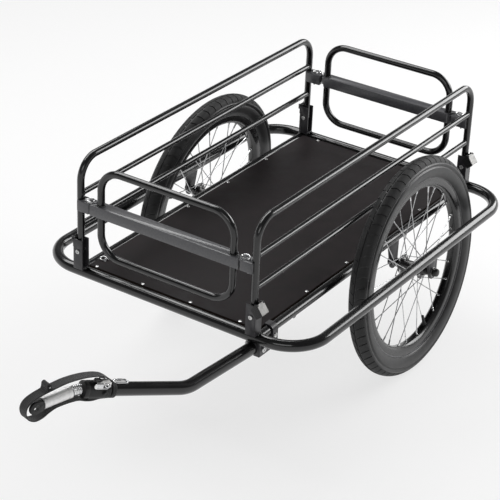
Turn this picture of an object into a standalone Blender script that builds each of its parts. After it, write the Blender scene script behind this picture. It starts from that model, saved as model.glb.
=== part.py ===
"""Bike cargo trailer: a welded tube frame on two spoked 20 inch wheels, with folding side panels,
lift-out end gates and a sprung hitch at the end of an offset tow arm.

Metres, +Z up. The trailer's front is at -Y and its left side, which carries the tow arm, at +X.
The origin is on the ground, under the middle of the whole trailer.
"""

import math

import bmesh
import bpy
from mathutils import Matrix, Vector

# Driving dimensions
TYRE_RADIUS = 0.254
BUMPER_HALF_WIDTH = 0.337
BUMPER_LENGTH = 0.883
BUMPER_CORNER_RADIUS = 0.088
BUMPER_RADIUS = 0.0125
FRAME_Z = 0.3065
SIDE_RAIL_RADIUS = 0.010
HITCH_REACH = 0.5424
GATE_HALF_WIDTH = 0.1675

# Clearances between fixed pieces and between moving ones
GAP = 0.0003
SLIDE_GAP = 0.001

# The bumper tube's front and rear runs, so that the trailer's middle is at y = 0
FRONT_Y = (HITCH_REACH - BUMPER_LENGTH - BUMPER_RADIUS) / 2
REAR_Y = FRONT_Y + BUMPER_LENGTH

# All four corner brackets are alike, with the post a little ahead of the bumper tube's middle
POST_SHIFT = -0.006
POST_Y = {"front": FRONT_Y + POST_SHIFT, "rear": REAR_Y + POST_SHIFT}

# Across the trailer, from the gate outwards: the crossbar's ends, the knuckles with their pins, the
# side panels' posts and the side rails under them
BAR_OVERHANG = 0.0205
KNUCKLE_GAP = 0.004
KNUCKLE_TRIM = 0.010
PIN_INSET = 0.012
POST_INSET = 0.0175
RAIL_INSET = 0.007
BAR_HALF_LENGTH = GATE_HALF_WIDTH + BAR_OVERHANG
KNUCKLE_INNER_X = BAR_HALF_LENGTH + KNUCKLE_GAP
KNUCKLE_TRIM_X = KNUCKLE_INNER_X - KNUCKLE_TRIM
PIN_X = KNUCKLE_INNER_X + PIN_INSET
PANEL_X = PIN_X + POST_INSET
SIDE_RAIL_X = PANEL_X + RAIL_INSET

# Deck and the tubes that it lies on
DECK_THICKNESS = 0.009
DECK_TOP_Z = FRAME_Z + DECK_THICKNESS
DECK_SIDE_MARGIN = 0.0005
DECK_HALF_WIDTH = SIDE_RAIL_X - SIDE_RAIL_RADIUS - DECK_SIDE_MARGIN
DECK_FRONT_MARGIN = 0.016
DECK_REAR_MARGIN = 0.021
CROSS_TUBE_RADIUS = 0.009
CROSS_TUBE_Z = DECK_TOP_Z - DECK_THICKNESS - GAP - CROSS_TUBE_RADIUS
CROSS_TUBE_MARGIN = 0.140
MIDDLE_TUBE_OFFSET = 0.455

# Side panels, which fold inwards about a rivet in each corner bracket
HOOP_RADIUS = 0.008
HOOP_BEND_RADIUS = 0.048
HINGE_RISE = 0.0535
HINGE_Z = FRAME_Z + HINGE_RISE
PANEL_TOP_Z = 0.570
RIVET_RADIUS = 0.004
RIVET_HEAD_RADIUS = 0.0065
RIVET_HEAD_HEIGHT = 0.0025

# Corner brackets, folded channels that are open towards the bay
BRACKET_SHEET = 0.0025
BRACKET_HALF_WIDTH = 0.012
BRACKET_INNER_X = PANEL_X - BRACKET_HALF_WIDTH
BRACKET_OUTER_X = PANEL_X + BRACKET_HALF_WIDTH
BRACKET_RISE = 0.0815
BRACKET_TOP_Z = FRAME_Z + BRACKET_RISE
BRACKET_HALF_DEPTH = HOOP_RADIUS + SLIDE_GAP + BRACKET_SHEET

# Latch levers over the brackets' outer walls, hinged at their upper ends between the side walls
LATCH_OFFSET = 0.0122
LATCH_X = PANEL_X + LATCH_OFFSET
LATCH_PIN_RISE = 0.0005
LATCH_Z = BRACKET_TOP_Z + LATCH_PIN_RISE
LATCH_LENGTH = 0.023
LATCH_HALF_WIDTH = HOOP_RADIUS
LATCH_THICKNESS = 0.007
LATCH_EAR_REACH = 0.0045
LATCH_NOTCH_DEPTH = 0.0095
LATCH_NOTCH_Z = BRACKET_TOP_Z - LATCH_NOTCH_DEPTH
LATCH_PIN_RADIUS = 0.0018
LATCH_TILT = math.radians(30)

# End gates: a loop of tube with a box-section crossbar. Its ends are cut aslant, and a tongue in
# each end reaches to the knuckle on the post
GATE_BOTTOM_Z = 0.367
GATE_TOP_Z = 0.5665
GATE_RADIUS = 0.008
GATE_CORNER_RADIUS = 0.050
BAR_Z = 0.471
BAR_HEIGHT = 0.024
BAR_HALF_DEPTH = 0.0135
BAR_WALL = 0.002
END_SLANT = 0.68
TONGUE_INSET = 0.004
TONGUE_GAP = 0.0004

# Mid rails: the lower one about midway between the brackets and the knuckles, the upper one close
# over the knuckles
MID_RAIL_RADIUS = 0.0063
LOWER_RAIL_DROP = 0.0015
UPPER_RAIL_RISE = 0.011
MID_RAIL_HEIGHTS = {
    "lower": (BRACKET_TOP_Z + BAR_Z - BAR_HEIGHT / 2) / 2 - LOWER_RAIL_DROP,
    "upper": BAR_Z + BAR_HEIGHT / 2 + UPPER_RAIL_RISE,
}

# The headed pins in the knuckles
PIN_RADIUS = 0.0022
PIN_TIP = 0.009
PIN_BOTTOM_Z = BAR_Z - BAR_HEIGHT / 2 - PIN_TIP
PIN_HEAD_RADIUS = 0.0042
PIN_HEAD_HEIGHT = 0.0026
PIN_RING_RADIUS = 0.0055
PIN_RING_WIRE = 0.0013
PIN_RING_OFFSET = 0.0080

# Wheels, which lean in at the top
CAMBER = math.radians(4.2)
WHEEL_X = (SIDE_RAIL_X + BUMPER_HALF_WIDTH) / 2
AXLE_OFFSET = 0.5445
AXLE_Y = FRONT_Y + AXLE_OFFSET
AXLE_Z = TYRE_RADIUS * math.cos(CAMBER)
TYRE_HALF_WIDTH = 0.0225
TYRE_HALF_HEIGHT = 0.026
TYRE_SEAT_RADIUS = TYRE_RADIUS - 2 * TYRE_HALF_HEIGHT
RIM_DEPTH = 0.018
RIM_SIDE_DEPTH = 0.010
RIM_FLANGE_HEIGHT = 0.0053
RIM_BED_HEIGHT = 0.0025
RIM_WELL_DEPTH = 0.0007
RIM_INNER_RADIUS = TYRE_SEAT_RADIUS - RIM_DEPTH
RIM_SIDE_RADIUS = TYRE_SEAT_RADIUS - RIM_SIDE_DEPTH
RIM_HALF_WIDTH = 0.0135
RIM_FLANGE_RADIUS = TYRE_SEAT_RADIUS + RIM_FLANGE_HEIGHT
RIM_BED_HALF_WIDTH = 0.0105
RIM_BED_RADIUS = TYRE_SEAT_RADIUS + RIM_BED_HEIGHT
RIM_WELL_RADIUS = TYRE_SEAT_RADIUS - RIM_WELL_DEPTH
WHEEL_STEPS = 48
TYRE_SECTION_STEPS = 12
HUB_STEPS = 20
FLANGE_X = 0.0245
FLANGE_HALF_THICKNESS = 0.0017
FLANGE_RADIUS = 0.0225
FLANGE_HOLE_RADIUS = 0.0190
HUB_BARREL_RADIUS = 0.013
HUB_END_RADIUS = 0.0095
SPOKES = 28
SPOKE_RADIUS = 0.0012
SPOKE_LEAN = math.radians(77)
AXLE_RADIUS = 0.005
AXLE_NUT_RADIUS = 0.0095
AXLE_NUT_HEIGHT = 0.008
AXLE_COLLAR_RADIUS = 0.0085
PLATE_THICKNESS = 0.004
PLATE_INSET = 0.00425
PLATE_OFFSET = (BUMPER_HALF_WIDTH - SIDE_RAIL_X) / 2 - PLATE_INSET
HUB_MARGIN = 0.006
HUB_HALF_LENGTH = PLATE_OFFSET - HUB_MARGIN
AXLE_MARGIN = 0.012
AXLE_HALF_LENGTH = PLATE_OFFSET + AXLE_MARGIN
PLATE_TOP_HALF_WIDTH = 0.024
PLATE_END_RADIUS = 0.016

# Tow arm, and its receiver under the frame's left front corner, which hangs on the side rail
ARM_RADIUS = 0.014
RECEIVER_INSET = 0.0085
RECEIVER_DROP = 0.029
ARM_INSERTION = 0.055
ARM_START = Vector((SIDE_RAIL_X - RECEIVER_INSET, FRONT_Y + ARM_INSERTION, FRAME_Z - RECEIVER_DROP))
ARM_LEAN = 0.019
ARM_BEND_REACH = 0.2020
ARM_BEND_RISE = 0.0015
ARM_BEND = Vector((ARM_START.x - ARM_LEAN, FRONT_Y - ARM_BEND_REACH, ARM_START.z + ARM_BEND_RISE))
ARM_BEND_RADIUS = 0.090
RECEIVER_HALF_WIDTH = 0.0182
RECEIVER_HALF_HEIGHT = 0.0160
RECEIVER_FRONT = -0.022
RECEIVER_REAR = 0.062
RECEIVER_BOLT_OFFSET = 0.012
RECEIVER_BOLT_RADIUS = 0.004
HANGER_OFFSET = 0.048
HANGER_HALF_LENGTH = 0.009
HANGER_SHEET = 0.003
HANGER_FALL = 0.0385
HANGER_TAB = 0.0095
HANGER_WELD = 0.0005

# Hitch: a socket on the arm, a spring, a sleeve and the bracket for the bicycle's axle
HITCH_Z = 0.350
HITCH_START_X = 0.115
HITCH_START_REACH = 0.378
HITCH_START = Vector((HITCH_START_X, FRONT_Y - HITCH_START_REACH, HITCH_Z))
HITCH_DIRECTION = Vector((-0.254, -0.967, 0.0)).normalized()
SOCKET_X = 0.1066
SOCKET_REACH = 0.410
SOCKET_DROP = 0.005
SOCKET_FRONT = Vector((SOCKET_X, FRONT_Y - SOCKET_REACH, HITCH_Z - SOCKET_DROP))
SOCKET_LENGTH = 0.0565
SOCKET_HALF_WIDTH = 0.0170
SOCKET_HALF_HEIGHT = 0.0155
SOCKET_BEVEL = 0.004
ARM_END_DEPTH = 0.028
HITCH_PIN_OFFSET = 0.042
HITCH_PIN_RADIUS = 0.003
HITCH_PIN_TAIL = 0.005
HITCH_PIN_HEAD_RADIUS = 0.0052
HITCH_PIN_HEAD_HEIGHT = 0.005
BAIL_WIRE_RADIUS = 0.0014
BAIL_HALF_WIDTH = 0.0055
BAIL_REACH = 0.010
BAIL_BEND_RADIUS = 0.003
SPRING_RADIUS = 0.0095
SPRING_WIRE_RADIUS = 0.0014
SPRING_TURNS = 5
SPRING_POINTS_A_TURN = 10
SLEEVE_START = 0.060
SLEEVE_END = 0.124
SLEEVE_RADIUS = 0.012
CLEVIS_END = 0.135
EYE_CENTRE = 0.1435
EYE_RADIUS = 0.013
EYE_THICKNESS = 0.006
EYE_OFFSET = -0.007
EYE_HOLE_RADIUS = 0.0052
STRAP_HALF_WIDTH = 0.010
STRAP_THICKNESS = 0.0024

# The strap's route in the hitch's upright plane: distance along the hitch, and height over its axis.
# It bends with the spring as far as the loop that it makes around the axle bracket
STRAP_ROUTE = [
    (-0.0310, -0.0072),
    (-0.0255, -0.0010),
    (-0.0175, 0.0060),
    (-0.0100, 0.0110),
    (0.0080, 0.0185),
    (0.0370, 0.0255),
    (0.0720, 0.0290),
    (0.1050, 0.0270),
]
LOOP_ROUTE = [
    (0.1050, 0.0270),
    (0.1350, 0.0235),
    (0.1570, 0.0160),
    (0.1660, 0.0025),
    (0.1620, -0.0155),
    (0.1470, -0.0255),
    (0.1300, -0.0245),
    (0.1150, -0.0185),
    (0.1000, -0.0140),
    (0.0860, -0.0135),
]

# Snap hook on the arm's upper side, behind the strap
HOOK_DISTANCE = 0.0785
HOOK_HALF_LENGTH = 0.014
HOOK_HALF_WIDTH = 0.0065
HOOK_WIRE = 0.0035

# Colours as linear red, green and blue, with roughness and metallic value
BLACK_PAINT = ((0.018, 0.018, 0.019), 0.35, 0.0)
DARK_STEEL = ((0.030, 0.030, 0.032), 0.45, 0.3)
RUBBER = ((0.012, 0.012, 0.012), 0.8, 0.0)
DECK_BOARD = ((0.028, 0.022, 0.020), 0.7, 0.0)
BRIGHT_STEEL = ((0.60, 0.60, 0.60), 0.3, 1.0)
WEBBING = ((0.014, 0.014, 0.014), 0.9, 0.0)

SIDES = {"left": 1, "right": -1}
ENDS = {"front": -1, "rear": 1}
Z_AXIS = Vector((0, 0, 1))


def clear_scene():
    for obj in list(bpy.data.objects):
        bpy.data.objects.remove(obj, do_unlink=True)


def new_collection(name):
    collection = bpy.data.collections.new(name)
    bpy.context.scene.collection.children.link(collection)
    return collection


clear_scene()
PARTS = new_collection("bike_cargo_trailer")
CUTTERS = new_collection("cutters")
MATERIALS = {}


# Helpers for objects and materials


def material(look):
    if look not in MATERIALS:
        colour, roughness, metallic = look
        made = bpy.data.materials.new("finish_%d" % len(MATERIALS))
        made.use_nodes = True
        shader = made.node_tree.nodes["Principled BSDF"]
        shader.inputs["Base Color"].default_value = (*colour, 1.0)
        shader.inputs["Roughness"].default_value = roughness
        shader.inputs["Metallic"].default_value = metallic
        MATERIALS[look] = made
    return MATERIALS[look]


def adopt(obj, name, collection=PARTS):
    """Names an object and moves it into one of this file's collections."""
    obj.name = name
    obj.data.name = name
    for old in list(obj.users_collection):
        old.objects.unlink(obj)
    collection.objects.link(obj)
    return obj


def finish(obj, look):
    obj.data.materials.clear()
    obj.data.materials.append(material(look))
    obj.data.shade_smooth()
    obj.data.set_sharp_from_angle(angle=math.radians(35))
    return obj


def boolean(obj, other, operation):
    adopt(other, other.name, CUTTERS)
    other.hide_render = True
    other.display_type = "WIRE"
    modifier = obj.modifiers.new(operation.lower(), "BOOLEAN")
    modifier.operation = operation
    modifier.object = other


def cut(obj, *others):
    for other in others:
        boolean(obj, other, "DIFFERENCE")
    return obj


def join(obj, *others):
    for other in others:
        boolean(obj, other, "UNION")
    return obj


def box(name, low, high):
    """A box between two opposite corners."""
    low = Vector(low)
    high = Vector(high)
    bpy.ops.mesh.primitive_cube_add(size=1)
    obj = adopt(bpy.context.object, name)
    size = high - low
    obj.data.transform(Matrix.Diagonal((abs(size.x), abs(size.y), abs(size.z), 1)))
    obj.location = (low + high) / 2
    return obj


def cylinder(name, start, end, radius, steps=16):
    """A cylinder whose end faces are centred on two points."""
    start = Vector(start)
    end = Vector(end)
    bpy.ops.mesh.primitive_cylinder_add(vertices=steps, radius=radius, depth=(end - start).length)
    obj = adopt(bpy.context.object, name)
    obj.rotation_mode = "QUATERNION"
    obj.rotation_quaternion = Z_AXIS.rotation_difference(end - start)
    obj.location = (start + end) / 2
    return obj


def as_mesh(obj):
    """The curve object as a mesh object of the same name, with its caps welded on."""
    bpy.context.view_layer.update()
    evaluated = obj.evaluated_get(bpy.context.evaluated_depsgraph_get())
    mesh = bpy.data.meshes.new_from_object(evaluated)
    work = bmesh.new()
    work.from_mesh(mesh)
    bmesh.ops.remove_doubles(work, verts=work.verts, dist=1e-6)
    bmesh.ops.recalc_face_normals(work, faces=work.faces)
    work.to_mesh(mesh)
    work.free()
    name = obj.name
    world = obj.matrix_world.copy()
    bpy.data.objects.remove(obj, do_unlink=True)
    made = bpy.data.objects.new(name, mesh)
    mesh.name = name
    PARTS.objects.link(made)
    made.matrix_world = world
    return made


def plate(name, rings, thickness, origin, across, up):
    """Flat rings of (across, up) points, the first with the others as holes, extruded both ways."""
    curve = bpy.data.curves.new(name, "CURVE")
    curve.dimensions = "2D"
    curve.fill_mode = "BOTH"
    curve.extrude = thickness / 2
    for ring in rings:
        spline = curve.splines.new("POLY")
        spline.points.add(len(ring) - 1)
        for point, (u, v) in zip(spline.points, ring):
            point.co = (u, v, 0, 1)
        spline.use_cyclic_u = True
    obj = bpy.data.objects.new(name, curve)
    PARTS.objects.link(obj)
    across = Vector(across)
    up = Vector(up)
    frame = Matrix((across, up, across.cross(up))).transposed().to_4x4()
    frame.translation = origin
    obj.matrix_world = frame
    return as_mesh(obj)


def tube(name, points, radius, resolution=4, cyclic=False):
    """A round tube along a list of points, with 2 * resolution + 4 sides."""
    curve = bpy.data.curves.new(name, "CURVE")
    curve.dimensions = "3D"
    curve.bevel_depth = radius
    curve.bevel_resolution = resolution
    curve.use_fill_caps = not cyclic
    spline = curve.splines.new("POLY")
    spline.points.add(len(points) - 1)
    for point, place in zip(spline.points, points):
        point.co = (*place, 1)
    spline.use_cyclic_u = cyclic
    obj = bpy.data.objects.new(name, curve)
    PARTS.objects.link(obj)
    return as_mesh(obj)


def turned(name, profile, steps):
    """A closed profile of (x, radius) points turned about the object's X axis."""
    mesh = bpy.data.meshes.new(name)
    work = bmesh.new()
    made = [work.verts.new((x, 0, -radius)) for x, radius in profile]
    for i, vert in enumerate(made):
        work.edges.new((made[i - 1], vert))
    work.to_mesh(mesh)
    work.free()
    obj = bpy.data.objects.new(name, mesh)
    PARTS.objects.link(obj)
    screw = obj.modifiers.new("screw", "SCREW")
    screw.axis = "X"
    screw.steps = steps
    screw.render_steps = steps
    screw.use_merge_vertices = True
    screw.merge_threshold = 1e-5
    return obj


# Helpers for outlines and routes


def arc(centre, radius, start, end, steps):
    """Points of a flat arc, with its angles in radians."""
    turns = [start + (end - start) * i / steps for i in range(steps + 1)]
    return [(centre[0] + radius * math.cos(t), centre[1] + radius * math.sin(t)) for t in turns]


def stadium(half_length, radius, steps=6):
    """A slot's outline: two half circles and the straight sides between them."""
    reach = half_length - radius
    right = arc((reach, 0), radius, -math.pi / 2, math.pi / 2, steps)
    left = arc((-reach, 0), radius, math.pi / 2, 3 * math.pi / 2, steps)
    return right + left


def rounded_path(corners, radius, steps=6, closed=False):
    """The corner points of a bent tube with each inner corner turned into an arc."""
    corners = [Vector(corner) for corner in corners]
    count = len(corners)
    points = []
    for i, corner in enumerate(corners):
        if not closed and i in (0, count - 1):
            points.append(corner)
            continue
        back = (corners[i - 1] - corner).normalized()
        ahead = (corners[(i + 1) % count] - corner).normalized()
        half = back.angle(ahead) / 2
        reach = radius / math.tan(half)
        centre = corner + (back + ahead).normalized() * (radius / math.sin(half))
        first = corner + back * reach - centre
        last = corner + ahead * reach - centre
        turn = first.angle(last)
        for k in range(steps + 1):
            near = math.sin((1 - k / steps) * turn) / math.sin(turn)
            far = math.sin(k / steps * turn) / math.sin(turn)
            points.append(centre + first * near + last * far)
    return points


def smooth_route(points, steps):
    """Points on the Catmull-Rom curve through a list of flat points."""
    ends = [points[0], *points, points[-1]]
    out = []
    for a, b, c, d in zip(ends, ends[1:], ends[2:], ends[3:]):
        for k in range(steps):
            t = k / steps
            weights = (
                (-t + 2 * t**2 - t**3) / 2,
                (2 - 5 * t**2 + 3 * t**3) / 2,
                (t + 4 * t**2 - 3 * t**3) / 2,
                (t**3 - t**2) / 2,
            )
            out.append(tuple(sum(w * p[i] for w, p in zip(weights, (a, b, c, d))) for i in (0, 1)))
    return [*out, points[-1]]


def ribbon(points, thickness):
    """The closed outline of a band along flat points."""
    upper = []
    lower = []
    for i, (u, v) in enumerate(points):
        before = points[max(i - 1, 0)]
        after = points[min(i + 1, len(points) - 1)]
        run = Vector((after[0] - before[0], after[1] - before[1])).normalized()
        upper.append((u - run.y * thickness / 2, v + run.x * thickness / 2))
        lower.append((u + run.y * thickness / 2, v - run.x * thickness / 2))
    return upper + lower[::-1]


# Joints


def pivot(name, place, lean=0.0):
    """An empty on a joint's axis, turned about Y, which carries the pieces that move together."""
    empty = bpy.data.objects.new(name, None)
    empty.location = place
    empty.rotation_euler = (0, lean, 0)
    empty.empty_display_size = 0.03
    PARTS.objects.link(empty)
    return empty


def carry(empty, *pieces):
    for piece in pieces:
        piece.parent = empty
        piece.matrix_parent_inverse = empty.matrix_basis.inverted()


# Frame


def bumper_run(name, y):
    """The space that a straight run of the bumper tube takes up, along X."""
    reach = BUMPER_HALF_WIDTH - BUMPER_CORNER_RADIUS + BUMPER_RADIUS
    return cylinder(name, (-reach, y, FRAME_Z), (reach, y, FRAME_Z), BUMPER_RADIUS + GAP, 32)


def bumper_tube():
    corners = [
        (BUMPER_HALF_WIDTH, FRONT_Y, FRAME_Z),
        (BUMPER_HALF_WIDTH, REAR_Y, FRAME_Z),
        (-BUMPER_HALF_WIDTH, REAR_Y, FRAME_Z),
        (-BUMPER_HALF_WIDTH, FRONT_Y, FRAME_Z),
    ]
    path = rounded_path(corners, BUMPER_CORNER_RADIUS, 8, closed=True)
    return finish(tube("bumper_tube", path, BUMPER_RADIUS, 4, cyclic=True), BLACK_PAINT)


def side_rail(side, sign):
    start = (sign * SIDE_RAIL_X, FRONT_Y, FRAME_Z)
    end = (sign * SIDE_RAIL_X, REAR_Y, FRAME_Z)
    rail = cylinder(side + "_side_rail", start, end, SIDE_RAIL_RADIUS)
    cut(rail, bumper_run("rail_front_saddle", FRONT_Y), bumper_run("rail_rear_saddle", REAR_Y))
    return finish(rail, BLACK_PAINT)


def cross_tube(name, y):
    reach = SIDE_RAIL_X - GAP
    made = cylinder(name, (-reach, y, CROSS_TUBE_Z), (reach, y, CROSS_TUBE_Z), CROSS_TUBE_RADIUS)
    for sign in SIDES.values():
        start = (sign * SIDE_RAIL_X, y - 0.03, FRAME_Z)
        end = (sign * SIDE_RAIL_X, y + 0.03, FRAME_Z)
        cut(made, cylinder("cross_tube_saddle", start, end, SIDE_RAIL_RADIUS + GAP, 32))
    return finish(made, BLACK_PAINT)


def deck_panel():
    low = (-DECK_HALF_WIDTH, FRONT_Y + DECK_FRONT_MARGIN, DECK_TOP_Z - DECK_THICKNESS)
    high = (DECK_HALF_WIDTH, REAR_Y - DECK_REAR_MARGIN, DECK_TOP_Z)
    return finish(box("deck_panel", low, high), DECK_BOARD)


def hinge_bracket(side, sign, end):
    """A channel on the bumper tube, open towards the bay. Its side walls hold the rivet and the latch."""
    y = POST_Y[end]
    outer = sign * BRACKET_OUTER_X
    inner = sign * BRACKET_INNER_X
    depth = BRACKET_HALF_DEPTH
    bracket = box(
        "%s_%s_hinge_bracket" % (end, side),
        (inner, y - depth, FRAME_Z),
        (outer, y + depth, BRACKET_TOP_Z),
    )
    groove = depth - BRACKET_SHEET
    past = inner - sign * 0.01
    back = outer - sign * BRACKET_SHEET
    beyond = outer + sign * 0.01
    floor = FRAME_Z + BUMPER_RADIUS + BRACKET_SHEET
    top = BRACKET_TOP_Z + 0.01
    cut(bracket, box("channel", (past, y - groove, floor), (back, y + groove, top)))
    cut(bracket, box("latch_notch", (past, y - groove, LATCH_NOTCH_Z), (beyond, y + groove, top)))
    cut(bracket, bumper_run("bracket_saddle", FRONT_Y if end == "front" else REAR_Y))
    rail_start = (sign * SIDE_RAIL_X, y - 0.03, FRAME_Z)
    rail_end = (sign * SIDE_RAIL_X, y + 0.03, FRAME_Z)
    cut(bracket, cylinder("bracket_rail_saddle", rail_start, rail_end, SIDE_RAIL_RADIUS + GAP, 32))
    start = (sign * PANEL_X, y - 0.03, HINGE_Z)
    stop = (sign * PANEL_X, y + 0.03, HINGE_Z)
    cut(bracket, cylinder("rivet_hole", start, stop, RIVET_RADIUS + GAP))
    for way in (-1, 1):
        low = (sign * PANEL_X + sign * HOOP_RADIUS, y + way * groove, LATCH_Z - 0.008)
        high = (sign * (LATCH_X + LATCH_EAR_REACH), y + way * depth, LATCH_Z + LATCH_EAR_REACH)
        join(bracket, box("latch_ear", low, high))
    start = (sign * LATCH_X, y - 0.03, LATCH_Z)
    stop = (sign * LATCH_X, y + 0.03, LATCH_Z)
    cut(bracket, cylinder("latch_pin_hole", start, stop, LATCH_PIN_RADIUS + GAP, 12))
    return finish(bracket, BLACK_PAINT)


def latch_lever(side, sign, end):
    """A block hinged at its upper end on a thin pin, leaning outwards from the bracket."""
    y = POST_Y[end]
    half = LATCH_THICKNESS / 2
    top = arc((0, 0), half, 0, math.pi, 6)
    outline = top + [(-half, -LATCH_LENGTH), (half, -LATCH_LENGTH)]
    turn = sign * LATCH_TILT
    across = (math.cos(turn), 0, math.sin(turn))
    up = (-math.sin(turn), 0, math.cos(turn))
    place = Vector((sign * LATCH_X, y, LATCH_Z))
    name = "%s_%s_latch_lever" % (end, side)
    lever = plate(name, [outline], 2 * LATCH_HALF_WIDTH, place, across, up)
    reach = Vector((0, BRACKET_HALF_DEPTH, 0))
    join(lever, cylinder("latch_pin", place - reach, place + reach, LATCH_PIN_RADIUS, 12))
    carry(pivot(name + "_pivot", place), lever)
    return finish(lever, DARK_STEEL)


def rivet(side, sign, end):
    """A headed rivet along Y through a bracket and the foot of a post."""
    y = POST_Y[end]
    face = BRACKET_HALF_DEPTH + GAP
    x = sign * PANEL_X
    name = "%s_%s_hinge_rivet" % (end, side)
    made = cylinder(name, (x, y - face - 0.001, HINGE_Z), (x, y + face + 0.001, HINGE_Z), RIVET_RADIUS)
    for way in (-1, 1):
        start = (x, y + way * face, HINGE_Z)
        stop = (x, y + way * (face + RIVET_HEAD_HEIGHT), HINGE_Z)
        join(made, cylinder("rivet_head", start, stop, RIVET_HEAD_RADIUS))
    return finish(made, BRIGHT_STEEL)


# Side panels


def post_space(name, sign, y, radius):
    start = (sign * PANEL_X, y, BAR_Z - 0.08)
    end = (sign * PANEL_X, y, BAR_Z + 0.06)
    return cylinder(name, start, end, radius, 32)


def hoop_tube(name, x, radius):
    corners = [
        (x, POST_Y["front"], HINGE_Z),
        (x, POST_Y["front"], PANEL_TOP_Z),
        (x, POST_Y["rear"], PANEL_TOP_Z),
        (x, POST_Y["rear"], HINGE_Z),
    ]
    return tube(name, rounded_path(corners, HOOP_BEND_RADIUS, 7), radius)


def hoop_inset(z):
    """How far the hoop's bend has carried its middle line inwards at this height."""
    past = max(0.0, z - PANEL_TOP_Z + HOOP_BEND_RADIUS)
    return HOOP_BEND_RADIUS - math.sqrt(HOOP_BEND_RADIUS**2 - past**2)


def side_hoop(side, sign):
    """The bent tube of a side panel. A ball closes each foot, so that it turns in its bracket."""
    x = sign * PANEL_X
    hoop = hoop_tube(side + "_panel_hoop", x, HOOP_RADIUS)
    for y in POST_Y.values():
        bpy.ops.mesh.primitive_uv_sphere_add(segments=16, ring_count=8, radius=HOOP_RADIUS - 0.0001)
        foot = bpy.context.object
        foot.name = "post_foot"
        foot.location = (x, y, HINGE_Z)
        join(hoop, foot)
        start = (x, y - 0.03, HINGE_Z)
        stop = (x, y + 0.03, HINGE_Z)
        cut(hoop, cylinder("post_rivet_hole", start, stop, RIVET_RADIUS + GAP))
    return finish(hoop, BLACK_PAINT)


def mid_rail(side, sign, level):
    """A straight tube between the posts, with its ends cut to the posts' round."""
    z = MID_RAIL_HEIGHTS[level]
    x = sign * PANEL_X
    start = (x, POST_Y["front"] + hoop_inset(z), z)
    end = (x, POST_Y["rear"] - hoop_inset(z), z)
    rail = cylinder("%s_%s_mid_rail" % (side, level), start, end, MID_RAIL_RADIUS, 12)
    cut(rail, hoop_tube("mid_rail_saddle", x, HOOP_RADIUS + GAP))
    return finish(rail, BLACK_PAINT)


def slant(y, end_sign):
    """How much shorter the crossbar is at this depth than at its outer face."""
    return END_SLANT * (BAR_HALF_DEPTH - end_sign * y)


def knuckle(side, sign, end, end_sign):
    """A block on the post, cut aslant like the crossbar's end and trimmed to clear the bumper tube."""
    y = POST_Y[end]
    outer = end_sign * BAR_HALF_DEPTH
    ring = [
        (sign * PANEL_X, outer),
        (sign * PANEL_X, -outer),
        (sign * KNUCKLE_TRIM_X, -outer),
        (sign * KNUCKLE_TRIM_X, outer - end_sign * (KNUCKLE_INNER_X - KNUCKLE_TRIM_X) / END_SLANT),
        (sign * KNUCKLE_INNER_X, outer),
    ]
    name = "%s_%s_gate_knuckle" % (end, side)
    made = plate(name, [ring], BAR_HEIGHT, (0, y, BAR_Z), (1, 0, 0), (0, 1, 0))
    cut(made, post_space("knuckle_saddle", sign, y, HOOP_RADIUS + GAP))
    start = (sign * PIN_X, y, BAR_Z - 0.03)
    stop = (sign * PIN_X, y, BAR_Z + 0.03)
    cut(made, cylinder("lock_pin_hole", start, stop, PIN_RADIUS + 2 * GAP, 12))
    return finish(made, BLACK_PAINT)


def gate_pin(side, sign, end):
    """A headed pin through the knuckle, with a pull ring that lies on the knuckle's top."""
    y = POST_Y[end]
    x = sign * PIN_X
    seat = BAR_Z + BAR_HEIGHT / 2 + GAP
    top = seat + PIN_HEAD_HEIGHT
    name = "%s_%s_gate_pin" % (end, side)
    pin = cylinder(name, (x, y, PIN_BOTTOM_Z), (x, y, top - 0.001), PIN_RADIUS, 12)
    join(pin, cylinder("pin_head", (x, y, seat), (x, y, top), PIN_HEAD_RADIUS))
    ring = arc((x - sign * PIN_RING_OFFSET, y), PIN_RING_RADIUS, 0, 2 * math.pi, 12)[:-1]
    path = [(u, v, seat + PIN_RING_WIRE) for u, v in ring]
    join(pin, tube("pin_ring", path, PIN_RING_WIRE, 1, cyclic=True))
    carry(pivot(name + "_slide", (x, y, PIN_BOTTOM_Z)), pin)
    return finish(pin, BRIGHT_STEEL)


# End gates


def gate_loop_path(y):
    corners = [
        (GATE_HALF_WIDTH, y, GATE_BOTTOM_Z),
        (GATE_HALF_WIDTH, y, GATE_TOP_Z),
        (-GATE_HALF_WIDTH, y, GATE_TOP_Z),
        (-GATE_HALF_WIDTH, y, GATE_BOTTOM_Z),
    ]
    return rounded_path(corners, GATE_CORNER_RADIUS, 7, closed=True)


def crossbar_block(name, y, outer, end_sign, half_length, height):
    """A block across the bay with aslant ends, between two depths that lie alike about the gate."""
    long = half_length - slant(outer, end_sign)
    short = half_length - slant(-outer, end_sign)
    ring = [(-long, outer), (-short, -outer), (short, -outer), (long, outer)]
    return plate(name, [ring], height, (0, y, BAR_Z), (1, 0, 0), (0, 1, 0))


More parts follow.
